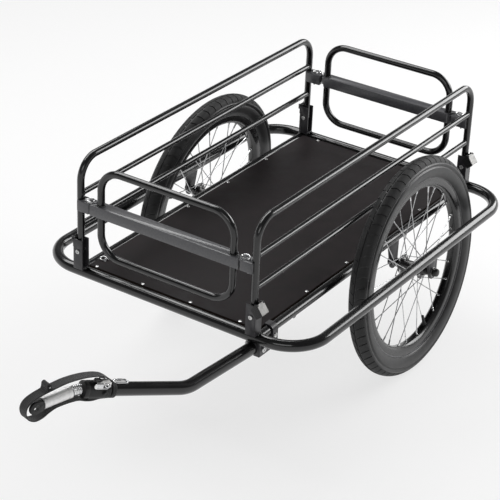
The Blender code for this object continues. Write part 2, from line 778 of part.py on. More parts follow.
def gate(end, end_sign):
    y = POST_Y[end]
    loop = finish(tube(end + "_gate_loop", gate_loop_path(y), GATE_RADIUS, 4, cyclic=True), BLACK_PAINT)
    outer = end_sign * BAR_HALF_DEPTH
    bar = crossbar_block(end + "_gate_crossbar", y, outer, end_sign, BAR_HALF_LENGTH, BAR_HEIGHT)
    reach = KNUCKLE_INNER_X - TONGUE_GAP
    tongue = outer - end_sign * TONGUE_INSET
    join(bar, crossbar_block("tongues", y, tongue, end_sign, reach, BAR_HEIGHT - 2 * TONGUE_INSET))
    depth = BAR_HALF_DEPTH - BAR_WALL
    height = BAR_HEIGHT / 2 - BAR_WALL
    low = (-GATE_HALF_WIDTH, y - depth, BAR_Z - height)
    high = (GATE_HALF_WIDTH, y + depth, BAR_Z + height)
    cut(bar, box("crossbar_hollow", low, high))
    for sign in SIDES.values():
        start = (sign * GATE_HALF_WIDTH, y, BAR_Z - 0.03)
        stop = (sign * GATE_HALF_WIDTH, y, BAR_Z + 0.03)
        cut(bar, cylinder("gate_leg_hole", start, stop, GATE_RADIUS + GAP, 24))
    finish(bar, BLACK_PAINT)
    carry(pivot(end + "_gate_slide", (0, y, BAR_Z)), loop, bar)


# Wheels


def wheel_place(sign, x=0.0, z=0.0):
    """A point from the wheel's centre: x outwards along the leaning axle, z up along the wheel."""
    out = x * math.cos(CAMBER) - z * math.sin(CAMBER)
    up = x * math.sin(CAMBER) + z * math.cos(CAMBER)
    return Vector((sign * (WHEEL_X + out), AXLE_Y, AXLE_Z + up))


def lean(obj, sign):
    """Puts an object that is built about the X axis on the wheel's axle."""
    obj.location = wheel_place(sign)
    obj.rotation_euler = (0, -sign * CAMBER, 0)
    return obj


def axle_plate(side, sign, name, x, support):
    """A plate that hangs from a frame tube, square to the axle, and holds one end of it."""
    place = wheel_place(sign, x)
    top = (FRAME_Z - place.z) / math.cos(CAMBER)
    round_end = arc((0, 0), PLATE_END_RADIUS, math.pi, 2 * math.pi, 8)
    ring = round_end + [(PLATE_TOP_HALF_WIDTH, top), (-PLATE_TOP_HALF_WIDTH, top)]
    up = wheel_place(sign, x, 1.0) - place
    made = plate("%s_%s_axle_plate" % (side, name), [ring], PLATE_THICKNESS, place, (0, 1, 0), up)
    tube_x, radius = support
    start = (sign * tube_x, AXLE_Y - 0.05, FRAME_Z)
    stop = (sign * tube_x, AXLE_Y + 0.05, FRAME_Z)
    cut(made, cylinder("plate_saddle", start, stop, radius + GAP, 32))
    start = wheel_place(sign, x - 0.01)
    stop = wheel_place(sign, x + 0.01)
    cut(made, cylinder("axle_hole", start, stop, AXLE_RADIUS + GAP))
    return finish(made, BLACK_PAINT)


def axle(side, sign):
    """A threaded axle with a nut outside each plate and a collar between each plate and the hub."""

    def along(name, start, stop, radius, steps=16):
        return cylinder(name, wheel_place(sign, start), wheel_place(sign, stop), radius, steps)

    made = along(side + "_axle", -AXLE_HALF_LENGTH, AXLE_HALF_LENGTH, AXLE_RADIUS)
    outside = PLATE_OFFSET + PLATE_THICKNESS / 2 + GAP
    inside = PLATE_OFFSET - PLATE_THICKNESS / 2 - GAP
    for way in (-1, 1):
        join(made, along("axle_nut", way * outside, way * (outside + AXLE_NUT_HEIGHT), AXLE_NUT_RADIUS, 6))
        join(made, along("axle_collar", way * (HUB_HALF_LENGTH + SLIDE_GAP), way * inside, AXLE_COLLAR_RADIUS))
    return finish(made, BRIGHT_STEEL)


def tyre(side, sign):
    middle = TYRE_RADIUS - TYRE_HALF_HEIGHT
    section = arc((0, 0), 1.0, math.pi / 2, 5 * math.pi / 2, TYRE_SECTION_STEPS)[:-1]
    profile = [(TYRE_HALF_WIDTH * u, middle + TYRE_HALF_HEIGHT * v) for u, v in section]
    return finish(lean(turned(side + "_tyre", profile, WHEEL_STEPS), sign), RUBBER)


def rim(side, sign):
    half = [
        (RIM_HALF_WIDTH / 2, RIM_INNER_RADIUS),
        (RIM_HALF_WIDTH, RIM_SIDE_RADIUS),
        (RIM_HALF_WIDTH, RIM_FLANGE_RADIUS),
        (RIM_BED_HALF_WIDTH, RIM_BED_RADIUS),
    ]
    profile = half + [(0.0, RIM_WELL_RADIUS)] + [(-x, radius) for x, radius in half[::-1]]
    return finish(lean(turned(side + "_rim", profile, WHEEL_STEPS), sign), BLACK_PAINT)


def spoke_ends(index):
    """A spoke's inner and outer end, as (x, y, z) from the wheel's centre."""
    flange = 1 if index % 2 else -1
    lean = 1 if index // 2 % 2 else -1
    rim_turn = 2 * math.pi * (index + 0.5) / SPOKES
    hub_turn = rim_turn + lean * SPOKE_LEAN
    inner_x = flange * (FLANGE_X + lean * 0.001)
    rim_reach = RIM_INNER_RADIUS * math.cos(math.pi / WHEEL_STEPS) - 2 * GAP
    inner = Vector((inner_x, FLANGE_HOLE_RADIUS * math.cos(hub_turn), FLANGE_HOLE_RADIUS * math.sin(hub_turn)))
    outer = Vector((flange * 0.002, rim_reach * math.cos(rim_turn), rim_reach * math.sin(rim_turn)))
    return inner, outer


def spokes(name):
    """All the spokes of a wheel as one mesh of thin prisms."""
    work = bmesh.new()
    for index in range(SPOKES):
        inner, outer = spoke_ends(index)
        run = outer - inner
        turn = Z_AXIS.rotation_difference(run).to_matrix().to_4x4()
        place = Matrix.Translation((inner + outer) / 2) @ turn
        bmesh.ops.create_cone(
            work,
            cap_ends=True,
            segments=6,
            radius1=SPOKE_RADIUS,
            radius2=SPOKE_RADIUS,
            depth=run.length,
            matrix=place,
        )
    mesh = bpy.data.meshes.new(name)
    work.to_mesh(mesh)
    work.free()
    obj = bpy.data.objects.new(name, mesh)
    PARTS.objects.link(obj)
    return obj


def hub(side, sign):
    """The hub shell on its axle, with the laced spokes joined on."""
    bore = AXLE_RADIUS + GAP
    half = [
        (HUB_HALF_LENGTH, bore),
        (HUB_HALF_LENGTH, HUB_END_RADIUS),
        (FLANGE_X + FLANGE_HALF_THICKNESS + 0.002, HUB_BARREL_RADIUS),
        (FLANGE_X + FLANGE_HALF_THICKNESS, FLANGE_RADIUS),
        (FLANGE_X - FLANGE_HALF_THICKNESS, FLANGE_RADIUS),
        (FLANGE_X - FLANGE_HALF_THICKNESS - 0.001, HUB_BARREL_RADIUS),
    ]
    profile = [(-x, radius) for x, radius in half] + half[::-1]
    shell = lean(turned(side + "_hub_and_spokes", profile, HUB_STEPS), sign)
    boolean(shell, lean(spokes(side + "_spokes"), sign), "UNION")
    shell.modifiers["union"].use_self = True
    return finish(shell, DARK_STEEL)


def wheel(side, sign):
    axle_plate(side, sign, "inner", -PLATE_OFFSET, (SIDE_RAIL_X, SIDE_RAIL_RADIUS))
    axle_plate(side, sign, "outer", PLATE_OFFSET, (BUMPER_HALF_WIDTH, BUMPER_RADIUS))
    axle(side, sign)
    axis = pivot(side + "_wheel_axis", wheel_place(sign), -sign * CAMBER)
    carry(axis, tyre(side, sign), rim(side, sign), hub(side, sign))


# Tow arm


ARM_RUN = (SOCKET_FRONT - ARM_BEND).normalized()
ARM_SIDE = ARM_RUN.cross(Z_AXIS).normalized()
ARM_UP = ARM_SIDE.cross(ARM_RUN)


def arm_place(distance):
    """A point on the arm's axis, this far behind the socket's front."""
    return SOCKET_FRONT - ARM_RUN * distance


def receiver_bolt_hole(name):
    y = FRONT_Y + RECEIVER_BOLT_OFFSET
    z = ARM_START.z
    x = ARM_START.x
    return cylinder(name, (x - 0.04, y, z), (x + 0.04, y, z), RECEIVER_BOLT_RADIUS + GAP)


def hitch_pin_hole(name):
    centre = arm_place(HITCH_PIN_OFFSET)
    reach = ARM_SIDE * 0.04
    return cylinder(name, centre - reach, centre + reach, HITCH_PIN_RADIUS + GAP, 12)


def tow_arm():
    path = rounded_path([ARM_START, ARM_BEND, arm_place(ARM_END_DEPTH)], ARM_BEND_RADIUS, 6)
    arm = tube("tow_arm", path, ARM_RADIUS)
    cut(arm, receiver_bolt_hole("arm_bolt_hole"), hitch_pin_hole("arm_pin_hole"))
    return finish(arm, BLACK_PAINT)


def tow_arm_receiver():
    """A box under the bumper tube that the arm's rear end is pushed into and bolted. A strip of sheet
    on its outer face hooks over the side rail."""
    z = ARM_START.z
    low = (ARM_START.x - RECEIVER_HALF_WIDTH, FRONT_Y + RECEIVER_FRONT, z - RECEIVER_HALF_HEIGHT)
    high = (ARM_START.x + RECEIVER_HALF_WIDTH, FRONT_Y + RECEIVER_REAR, z + RECEIVER_HALF_HEIGHT)
    receiver = box("tow_arm_receiver", low, high)
    run = (ARM_BEND - ARM_START).normalized()
    bore = cylinder("arm_bore", ARM_START - run * 0.001, ARM_START + run * 0.12, ARM_RADIUS + GAP, 24)
    cut(receiver, bore, receiver_bolt_hole("receiver_bolt_hole"))
    return finish(join(receiver, receiver_hanger(), hanger_weld(high)), BLACK_PAINT)


def receiver_bolt():
    y = FRONT_Y + RECEIVER_BOLT_OFFSET
    z = ARM_START.z
    face = RECEIVER_HALF_WIDTH + GAP
    inner = ARM_START.x - face
    outer = ARM_START.x + face
    bolt = cylinder("receiver_bolt", (inner - 0.008, y, z), (outer + 0.001, y, z), RECEIVER_BOLT_RADIUS)
    join(bolt, cylinder("bolt_head", (outer, y, z), (outer + 0.004, y, z), 0.0068))
    join(bolt, cylinder("bolt_nut", (inner - 0.006, y, z), (inner, y, z), 0.0075, 6))
    return finish(bolt, BRIGHT_STEEL)


def receiver_hanger():
    """The strip over the side rail, whose long leg runs down past the receiver's outer face."""
    hold = SIDE_RAIL_RADIUS + GAP
    outer = hold + HANGER_SHEET
    over = arc((0, 0), outer, 0, math.pi / 2, 6)
    under = arc((0, 0), hold, math.pi / 2, 0, 6)
    low = [(hold, -HANGER_FALL), (outer, -HANGER_FALL)]
    ring = [*low, *over, (-HANGER_TAB, outer), (-HANGER_TAB, hold), *under]
    place = (SIDE_RAIL_X, FRONT_Y + HANGER_OFFSET, FRAME_Z)
    return plate("receiver_hanger", [ring], 2 * HANGER_HALF_LENGTH, place, (1, 0, 0), (0, 0, 1))


def hanger_weld(corner):
    """What joins the strip to the receiver, whose outer top corner is at this place."""
    y = FRONT_Y + HANGER_OFFSET
    low = (corner[0] - HANGER_WELD, y - HANGER_HALF_LENGTH, FRAME_Z - HANGER_FALL)
    leg = SIDE_RAIL_X + SIDE_RAIL_RADIUS + GAP + HANGER_WELD
    return box("hanger_weld", low, (leg, y + HANGER_HALF_LENGTH, corner[2]))


# Hitch


HITCH_SIDE = HITCH_DIRECTION.cross(Z_AXIS).normalized()


def hitch_place(distance, height=HITCH_Z):
    """A point in the hitch's upright plane."""
    place = HITCH_START + HITCH_DIRECTION * distance
    place.z = height
    return place


def hitch_socket():
    """A block with rounded edges that holds the arm's front end."""
    bpy.ops.mesh.primitive_cube_add(size=1)
    socket = adopt(bpy.context.object, "hitch_socket")
    size = (2 * SOCKET_HALF_WIDTH, SOCKET_LENGTH, 2 * SOCKET_HALF_HEIGHT, 1)
    socket.data.transform(Matrix.Diagonal(size))
    turn = Matrix((ARM_SIDE, ARM_RUN, ARM_UP)).transposed().to_4x4()
    turn.translation = arm_place(SOCKET_LENGTH / 2)
    socket.matrix_world = turn
    bevel = socket.modifiers.new("bevel", "BEVEL")
    bevel.width = SOCKET_BEVEL
    bevel.segments = 2
    start = arm_place(ARM_END_DEPTH - GAP)
    bore = cylinder("socket_bore", start, arm_place(SOCKET_LENGTH + 0.02), ARM_RADIUS + GAP, 24)
    cut(socket, bore, hitch_pin_hole("socket_pin_hole"))
    return finish(socket, DARK_STEEL)


def hitch_pin():
    """The pull pin across the socket and the arm. Its wire bail rises on the left and lies on top."""
    centre = arm_place(HITCH_PIN_OFFSET)
    face = centre - ARM_SIDE * (SOCKET_HALF_WIDTH + GAP)
    tail = centre + ARM_SIDE * (SOCKET_HALF_WIDTH + HITCH_PIN_TAIL)
    head = face - ARM_SIDE * HITCH_PIN_HEAD_HEIGHT
    pin = cylinder("hitch_pin", tail, face - ARM_SIDE * 0.001, HITCH_PIN_RADIUS, 12)
    join(pin, cylinder("pin_head", face, head, HITCH_PIN_HEAD_RADIUS))
    left = (face + head) / 2 - ARM_UP * BAIL_WIRE_RADIUS
    rise = ARM_UP * (SOCKET_HALF_HEIGHT + SLIDE_GAP + 2 * BAIL_WIRE_RADIUS)
    over = ARM_SIDE * ((centre - left).dot(ARM_SIDE) + BAIL_REACH)
    width = ARM_RUN * BAIL_HALF_WIDTH
    flat = [left, left + rise, left + rise + over]
    corners = [place + width for place in flat] + [place - width for place in flat[::-1]]
    path = rounded_path(corners, BAIL_BEND_RADIUS, 4, closed=True)
    join(pin, tube("pin_bail", path, BAIL_WIRE_RADIUS, 1, cyclic=True))
    carry(pivot("hitch_pin_slide", centre), pin)
    return finish(pin, BRIGHT_STEEL)


def spring_axis(share):
    """A point and the direction on the curved line from the socket's front to the sleeve's rear."""
    start = SOCKET_FRONT
    end = hitch_place(SLEEVE_START)
    third = (end - start).length / 3
    a = start + ARM_RUN * third
    b = end - HITCH_DIRECTION * third
    t = share
    place = start * (1 - t) ** 3 + a * 3 * t * (1 - t) ** 2 + b * 3 * t**2 * (1 - t) + end * t**3
    run = (a - start) * (1 - t) ** 2 + (b - a) * 2 * t * (1 - t) + (end - b) * t**2
    return place, run.normalized()


def spring_route():
    """One unbroken wire: a straight end, the turns, and a straight end."""
    end = hitch_place(SLEEVE_START)
    length = (end - SOCKET_FRONT).length
    straight = 2 * SPRING_WIRE_RADIUS
    margin = (straight + GAP + SPRING_WIRE_RADIUS / 2) / length
    count = SPRING_TURNS * SPRING_POINTS_A_TURN
    route = []
    for i in range(count + 1):
        place, run = spring_axis(margin + (1 - 2 * margin) * i / count)
        side = run.cross(Z_AXIS).normalized()
        up = side.cross(run)
        turn = 2 * math.pi * i / SPRING_POINTS_A_TURN
        route.append(place + (up * math.cos(turn) + side * math.sin(turn)) * SPRING_RADIUS)
    first = SOCKET_FRONT + ARM_RUN * GAP + ARM_UP * SPRING_RADIUS
    last = end - HITCH_DIRECTION * GAP + Z_AXIS * SPRING_RADIUS
    return [first, *route, last]


def least_gap(route, radius, apart):
    """The least space between stretches of a round wire that are this many points apart."""
    found = math.inf
    for i, place in enumerate(route):
        for other in route[i + apart :]:
            found = min(found, (place - other).length - 2 * radius)
    return found


def hitch_spring():
    route = spring_route()
    gap = least_gap(route, SPRING_WIRE_RADIUS, SPRING_POINTS_A_TURN // 2)
    print("hitch_spring: %d turns, least gap %.2f mm" % (SPRING_TURNS, gap * 1000))
    return finish(tube("hitch_spring", route, SPRING_WIRE_RADIUS, 1), BRIGHT_STEEL)


def coupler_sleeve():
    start = hitch_place(SLEEVE_START)
    end = hitch_place(SLEEVE_END)
    sleeve = cylinder("coupler_sleeve", start, end, SLEEVE_RADIUS, 24)
    bevel = sleeve.modifiers.new("bevel", "BEVEL")
    bevel.width = 0.0012
    bevel.segments = 1
    bevel.limit_method = "ANGLE"
    bevel.angle_limit = math.radians(40)
    return finish(sleeve, BRIGHT_STEEL)


def axle_bracket():
    """A neck in front of the sleeve and an upright eye plate that goes on the bicycle's axle."""
    start = hitch_place(SLEEVE_END + GAP)
    bracket = cylinder("axle_bracket", start, hitch_place(CLEVIS_END), SLEEVE_RADIUS - 0.001, 12)
    eye = hitch_place(EYE_CENTRE) + HITCH_SIDE * EYE_OFFSET
    back = SLEEVE_END + 0.002 - EYE_CENTRE
    outline = arc((0, 0), EYE_RADIUS, -math.pi / 2, math.pi / 2, 10)
    ring = [*outline, (back, 0.0095), (back, -0.0095)]
    hole = arc((0, 0), EYE_HOLE_RADIUS, 0, 2 * math.pi, 16)[:-1]
    join(bracket, plate("eye_plate", [ring, hole], EYE_THICKNESS, eye, HITCH_DIRECTION, Z_AXIS))
    reach = HITCH_SIDE * 0.02
    cut(bracket, cylinder("eye_hole", eye - reach, eye + reach, EYE_HOLE_RADIUS))
    return finish(bracket, DARK_STEEL)


def strap_piece(name, route, points):
    """A stretch of the strap between two places on its smooth route."""
    first, last = points
    outline = ribbon(route[first:last], STRAP_THICKNESS)
    strap = plate(name, [outline], 2 * STRAP_HALF_WIDTH, hitch_place(0.0), HITCH_DIRECTION, Z_AXIS)
    return finish(strap, WEBBING)


def safety_strap():
    """The strap from under the socket over the spring, and the loop that it makes round the bracket.
    The two are one strap, which this file parts by GAP because only the first bends."""
    steps = 4
    route = smooth_route(STRAP_ROUTE + LOOP_ROUTE[1:], steps)
    seam = (len(STRAP_ROUTE) - 1) * steps
    run = Vector(route[seam + 1]) - Vector(route[seam])
    start = Vector(route[seam]) + run.normalized() * GAP
    strap_piece("safety_strap", route, (0, seam + 1))
    return strap_piece("strap_loop", [tuple(start), *route[seam + 1 :]], (0, None))


def snap_hook():
    """A wire link that lies on the arm, behind the strap's rear end."""
    rise = ARM_RADIUS + GAP + HOOK_WIRE / 2
    place = arm_place(HOOK_DISTANCE) + ARM_UP * rise
    outside = stadium(HOOK_HALF_LENGTH, HOOK_HALF_WIDTH)
    inside = stadium(HOOK_HALF_LENGTH - HOOK_WIRE, HOOK_HALF_WIDTH - HOOK_WIRE)
    hook = plate("snap_hook", [outside, inside], HOOK_WIRE, place, ARM_RUN, ARM_SIDE)
    return finish(hook, BRIGHT_STEEL)


def hitch():
    hitch_socket()
    hitch_pin()
    hitch_spring()
    snap_hook()
    middle, _ = spring_axis(0.5)
    carry(pivot("hitch_flex", middle), coupler_sleeve(), axle_bracket(), safety_strap())


def frame():
    bumper_tube()
    cross_tube("front_cross_tube", FRONT_Y + CROSS_TUBE_MARGIN)
    cross_tube("middle_cross_tube", FRONT_Y + MIDDLE_TUBE_OFFSET)
    cross_tube("rear_cross_tube", REAR_Y - CROSS_TUBE_MARGIN)
    deck_panel()
    tow_arm_receiver()
    receiver_bolt()
    tow_arm()
    for side, sign in SIDES.items():
        side_rail(side, sign)
        for end in ENDS:
            hinge_bracket(side, sign, end)
            latch_lever(side, sign, end)
            rivet(side, sign, end)


def side_panel(side, sign):
    pieces = [side_hoop(side, sign)]
    for level in MID_RAIL_HEIGHTS:
        pieces.append(mid_rail(side, sign, level))
    for end, end_sign in ENDS.items():
        pieces.append(knuckle(side, sign, end, end_sign))
        gate_pin(side, sign, end)
    carry(pivot(side + "_panel_hinge", (sign * PANEL_X, 0, HINGE_Z)), *pieces)


frame()
for side, sign in SIDES.items():
    side_panel(side, sign)
    wheel(side, sign)
for end, end_sign in ENDS.items():
    gate(end, end_sign)
hitch()
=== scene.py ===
# %% [markdown]
# # A bicycle cargo trailer
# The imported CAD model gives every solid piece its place. This file dresses that model: it loads the
# solids as a fixed frame, builds finer pieces over the plain ones and gives each surface the finish
# of its real material. Everything is in metres, with +Z up, the tow hitch at -Y and the tow arm on
# the left side at +X.

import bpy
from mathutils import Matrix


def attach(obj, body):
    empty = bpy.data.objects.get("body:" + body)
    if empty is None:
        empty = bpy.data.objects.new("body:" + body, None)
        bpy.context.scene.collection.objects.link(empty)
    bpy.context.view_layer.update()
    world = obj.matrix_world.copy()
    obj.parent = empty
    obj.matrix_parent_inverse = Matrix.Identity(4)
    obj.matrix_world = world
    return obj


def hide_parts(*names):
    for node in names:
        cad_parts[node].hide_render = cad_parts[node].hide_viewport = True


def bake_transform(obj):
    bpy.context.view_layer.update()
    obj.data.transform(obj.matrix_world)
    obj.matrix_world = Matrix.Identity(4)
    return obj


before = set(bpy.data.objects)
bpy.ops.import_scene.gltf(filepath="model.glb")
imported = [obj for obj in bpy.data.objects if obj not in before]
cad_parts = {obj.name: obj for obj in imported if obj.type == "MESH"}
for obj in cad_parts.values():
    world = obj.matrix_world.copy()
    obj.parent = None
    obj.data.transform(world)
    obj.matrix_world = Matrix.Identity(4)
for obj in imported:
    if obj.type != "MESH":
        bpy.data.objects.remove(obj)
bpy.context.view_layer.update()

import math

import bmesh
import bpy
from mathutils import Matrix, Vector

SIDES = {"left": 1, "right": -1}
ENDS = {"front": -1, "rear": 1}
CORNERS = [(side, sign, end) for side, sign in SIDES.items() for end in ENDS]
Z_AXIS = Vector((0, 0, 1))


def linked(name, data):
    """A new object in the scene that shows this data."""
    obj = bpy.data.objects.new(name, data)
    bpy.context.scene.collection.objects.link(obj)
    return obj


# %% [markdown]
# ## Camera
# The picture was taken from the trailer's front left, a little above it, with a long lens from about
# four metres away. A long lens keeps the far wheel nearly as large as the near one. The angles here
# were fitted to the outlines of the frame tubes and the wheel.

# %% Camera
VIEW_AZIMUTH = math.radians(33.1087)
VIEW_ELEVATION = math.radians(28.4552)
VIEW_ROLL = math.radians(2.5389)
VIEW_TARGET = Vector((0.0004, 0.13235, 0.3))
VIEW_DISTANCE = 4.0242
LENS_MM, SENSOR_MM = 131.3, 36

back = Vector((
    math.sin(VIEW_AZIMUTH) * math.cos(VIEW_ELEVATION),
    -math.cos(VIEW_AZIMUTH) * math.cos(VIEW_ELEVATION),
    math.sin(VIEW_ELEVATION),
))
level = Vector((math.cos(VIEW_AZIMUTH), math.sin(VIEW_AZIMUTH), 0))
upright = back.cross(level)
side = level * math.cos(VIEW_ROLL) + upright * math.sin(VIEW_ROLL)
top = upright * math.cos(VIEW_ROLL) - level * math.sin(VIEW_ROLL)
lens = bpy.data.cameras.new("studio_camera")
lens.lens, lens.sensor_width = LENS_MM, SENSOR_MM
lens.clip_start = 0.1
camera = linked("studio_camera", lens)
camera.matrix_world = Matrix((side, top, back)).transposed().to_4x4()
camera.location = VIEW_TARGET + back * VIEW_DISTANCE
bpy.context.scene.camera = camera
print("camera at", [round(v, 3) for v in camera.location])

# %% [markdown]
# ## Nodes and colours
# Colours are written as the hex values that a screen shows, and one function turns them into the
# linear light that shaders reckon with. One more function adds a node to a tree, with its settings
# and its links, so that a material reads as a short list.

# %% Helpers for node trees
def ink(code):
    """A colour from its sRGB hex code, as linear red, green, blue and alpha."""
    parts = [int(code[i:i + 2], 16) / 255 for i in (1, 3, 5)]
    return (*[p / 12.92 if p <= 0.04045 else ((p + 0.055) / 1.055) ** 2.4 for p in parts], 1.0)


def add(tree, kind, inputs=None, **settings):
    """A new node. Each input gets a value, or a link where a socket is given."""
    node = tree.nodes.new(kind)
    for key, value in settings.items():
        setattr(node, key, value)
    for key, value in (inputs or {}).items():
        socket = node.inputs[key]
        if isinstance(value, bpy.types.NodeSocket):
            tree.links.new(value, socket)
        else:
            socket.default_value = value
    return node


def maths(tree, operation, *values):
    """The result of a sum on numbers or sockets."""
    return add(tree, "ShaderNodeMath", dict(enumerate(values)), operation=operation).outputs[0]


def axis_of(tree, vector, axis):
    """One coordinate of a vector."""
    return add(tree, "ShaderNodeSeparateXYZ", {"Vector": vector}).outputs[axis]


def waves(tree, value, length):
    """A sine wave of this length, in metres, along a coordinate."""
    return maths(tree, "SINE", maths(tree, "MULTIPLY", value, 2 * math.pi / length))


def blotches(tree, where, size_mm, detail=3.0):
    """Noise whose blotches are about this large."""
    inputs = {"Vector": where, "Scale": 1000 / size_mm, "Detail": detail}
    return add(tree, "ShaderNodeTexNoise", inputs).outputs["Fac"]


def spread(tree, value, low, high, start=0.3, stop=0.7):
    """Turns a noise value into a number between low and high."""
    inputs = {"Value": value, "From Min": start, "From Max": stop, "To Min": low, "To Max": high}
    return add(tree, "ShaderNodeMapRange", inputs).outputs["Result"]


def tint(tree, share, first, second):
    """A colour between two colours, each a hex code or a socket."""
    ends = [ink(c) if isinstance(c, str) else c for c in (first, second)]
    return add(tree, "ShaderNodeMix", {"Factor": share, 6: ends[0], 7: ends[1]}, data_type="RGBA").outputs[2]


def emboss(tree, height, depth_mm):
    """The normal of a surface with a height pattern that is this deep."""
    return add(tree, "ShaderNodeBump", {"Height": height, "Distance": depth_mm / 1000}).outputs["Normal"]


def start_finish(name, **values):
    """A new material: its tree, its Object coordinates, and a function that ends it."""
    made = bpy.data.materials.new(name)
    made.use_nodes = True
    tree = made.node_tree
    inputs = tree.nodes["Principled BSDF"].inputs
    for key, value in values.items():
        inputs[key.replace("_", " ")].default_value = value

    def end_finish(colour, roughness, normal):
        for key, source in (("Base Color", colour), ("Roughness", roughness), ("Normal", normal)):
            tree.links.new(source, inputs[key])
        return made

    return tree, add(tree, "ShaderNodeTexCoord").outputs["Object"], end_finish


def empty_tree(data):
    """The node tree of a material or a world, with nothing in it."""
    data.use_nodes = True
    data.node_tree.nodes.clear()
    return data.node_tree


print("helpers ready")

# %% [markdown]
# ## Floor and light
# The trailer stands on a white sweep in a room that is pale at the floor and dark overhead. Long
# panels overhead and behind draw the bright lines along the glossy tubes. What the camera sees of the
# floor is partly its own light, so that it stays white round a soft shadow, and the object gets no
# more light from it.

# %% Floor and sky
# The floor's own share of its light. The upward part of a direction from which the room is dark, and
# how much light is left there.
FLOOR_GLOW, DARK_FROM, DARK_LIGHT = 0.72, 0.32, 0.14


def floor_finish():
    """White paper, which partly glows where a camera ray, a reflection or a view through glass
    meets it."""
    made = bpy.data.materials.new("white_paper_sweep")
    tree = empty_tree(made)
    ray = add(tree, "ShaderNodeLightPath").outputs
    seen = maths(tree, "MAXIMUM", ray["Is Camera Ray"], ray["Is Glossy Ray"])
    share = maths(tree, "MULTIPLY", maths(tree, "MAXIMUM", seen, ray["Is Transmission Ray"]), FLOOR_GLOW)
    paper = add(tree, "ShaderNodeBsdfDiffuse", {"Color": ink("#f7f7f7")}).outputs[0]
    glow = add(tree, "ShaderNodeEmission", {"Color": ink("#ffffff"), "Strength": 1.0}).outputs[0]
    mix = add(tree, "ShaderNodeMixShader", {0: share, 1: paper, 2: glow}).outputs[0]
    add(tree, "ShaderNodeOutputMaterial", {"Surface": mix})
    return made


bpy.ops.mesh.primitive_plane_add(size=60)
floor = bpy.context.object
floor.name = "floor"
floor.data.materials.append(floor_finish())

sky = bpy.data.worlds.new("studio")
bpy.context.scene.world = sky
tree = empty_tree(sky)
height = axis_of(tree, add(tree, "ShaderNodeTexCoord").outputs["Generated"], "Z")
fade = add(
    tree, "ShaderNodeMapRange", {"Value": height, 1: 0.0, 2: DARK_FROM, 3: 1.0, 4: DARK_LIGHT},
    interpolation_type="SMOOTHSTEP",
)
room = add(tree, "ShaderNodeBackground", {"Color": ink("#ffffff"), "Strength": fade.outputs[0]})
add(tree, "ShaderNodeOutputWorld", {"Surface": room.outputs[0]})
bpy.context.scene.view_settings.view_transform = "Standard"
print("floor and sky ready")

# %% Soft boxes
# Place, target, width and height in metres, and watts.
SOFT_BOXES = {
    "overhead_panel": ((-1.55, 0.62, 2.75), (0, 0.1, 0.3), (3.0, 1.35), 62),
    "side_panel": ((1.1, 2.5, 1.45), (0.1, 0.2, 0.35), (2.3, 1.1), 52),
    "front_fill": ((1.0, -2.7, 2.4), (0, -0.2, 0.2), (2.2, 1.2), 16),
}
for name, (place, target, size, watts) in SOFT_BOXES.items():
    data = bpy.data.lights.new(name, "AREA")
    data.shape = "RECTANGLE"
    data.size, data.size_y = size
    data.energy = watts
    lamp = linked(name, data)
    lamp.location = place
    lamp.rotation_euler = (Vector(target) - Vector(place)).to_track_quat("-Z", "Y").to_euler()
print("three soft boxes")

# %% [markdown]
# ## Finishes of the metal pieces
# The frame is steel tube with a black powder coat: the powder melts into a glossy skin with a faint
# orange peel. The small hardware is zinc plated, which is a metal with a soft grey shine and fine
# scratches. The cast and pressed parts have a flatter black.

# %% Metal finishes
def powder_coat(name, dark, light, roughness, coat):
    """Powder coat, or a duller dark skin where its clear coat is nought: fine orange peel about
    1.5 mm across, and slow changes of gloss."""
    tree, where, end_finish = start_finish(name, Coat_Weight=coat, Coat_Roughness=0.12)
    grit = spread(tree, blotches(tree, where, 4.0, 6.0), 0, 1, 0.4, 0.75)
    gloss = spread(tree, blotches(tree, where, 60), roughness - 0.03, roughness + 0.05)
    peel = blotches(tree, where, 1.5, 2.0)
    return end_finish(tint(tree, grit, dark, light), gloss, emboss(tree, peel, 0.006))


def plated(name, dark, light, roughness, scratch=0.02):
    """Zinc or nickel plate: metal with cloudy patches and fine scratches about 0.6 mm apart."""
    tree, where, end_finish = start_finish(name, Metallic=1.0)
    cloud = spread(tree, blotches(tree, where, 9), 0, 1)
    fine = blotches(tree, where, 0.6, 2.0)
    gloss = spread(tree, fine, roughness - 0.05, roughness + 0.06)
    return end_finish(tint(tree, cloud, dark, light), gloss, emboss(tree, fine, scratch))


GLOSS_BLACK = powder_coat("black_powder_coated_steel", "#0c0c0d", "#151516", 0.17, 0.35)
SATIN_BLACK = powder_coat("satin_black_pressed_steel", "#29282b", "#343336", 0.36, 0.1)
SATIN_GREY = powder_coat("satin_charcoal_extruded_alloy", "#4b4b4e", "#59595c", 0.30, 0.3)
CAST_BLACK = powder_coat("black_moulded_nylon", "#121213", "#1d1d1e", 0.46, 0.0)
RIM_BLACK = powder_coat("black_enamelled_alloy", "#0d0d0e", "#161617", 0.24, 0.3)
RIM_EDGE_GREY = powder_coat("light_grey_rim_lip_alloy", "#58585a", "#727274", 0.3, 0.0)
NUT_BLACK = powder_coat("black_oxide_steel", "#131314", "#222223", 0.34, 0.0)
ZINC = plated("bright_zinc_plated_steel", "#b4b5b7", "#dededc", 0.28)
CHROME = plated("polished_nickel_steel", "#cfd0d2", "#efefee", 0.18, 0.004)
SLEEVE_ALLOY = plated("satin_turned_aluminium", "#e6e6e6", "#f4f3f2", 0.56, 0.006)
STAINLESS = plated("drawn_stainless_steel", "#a9aaac", "#d6d6d6", 0.24, 0.004)
LATCH_GREY = plated("sand_blasted_zinc_casting", "#858584", "#9d9c9a", 0.5, 0.03)
CLIP_GREY = plated("galvanised_spring_steel", "#c2c2c1", "#dddcda", 0.46, 0.02)
print(len(bpy.data.materials), "materials so far")
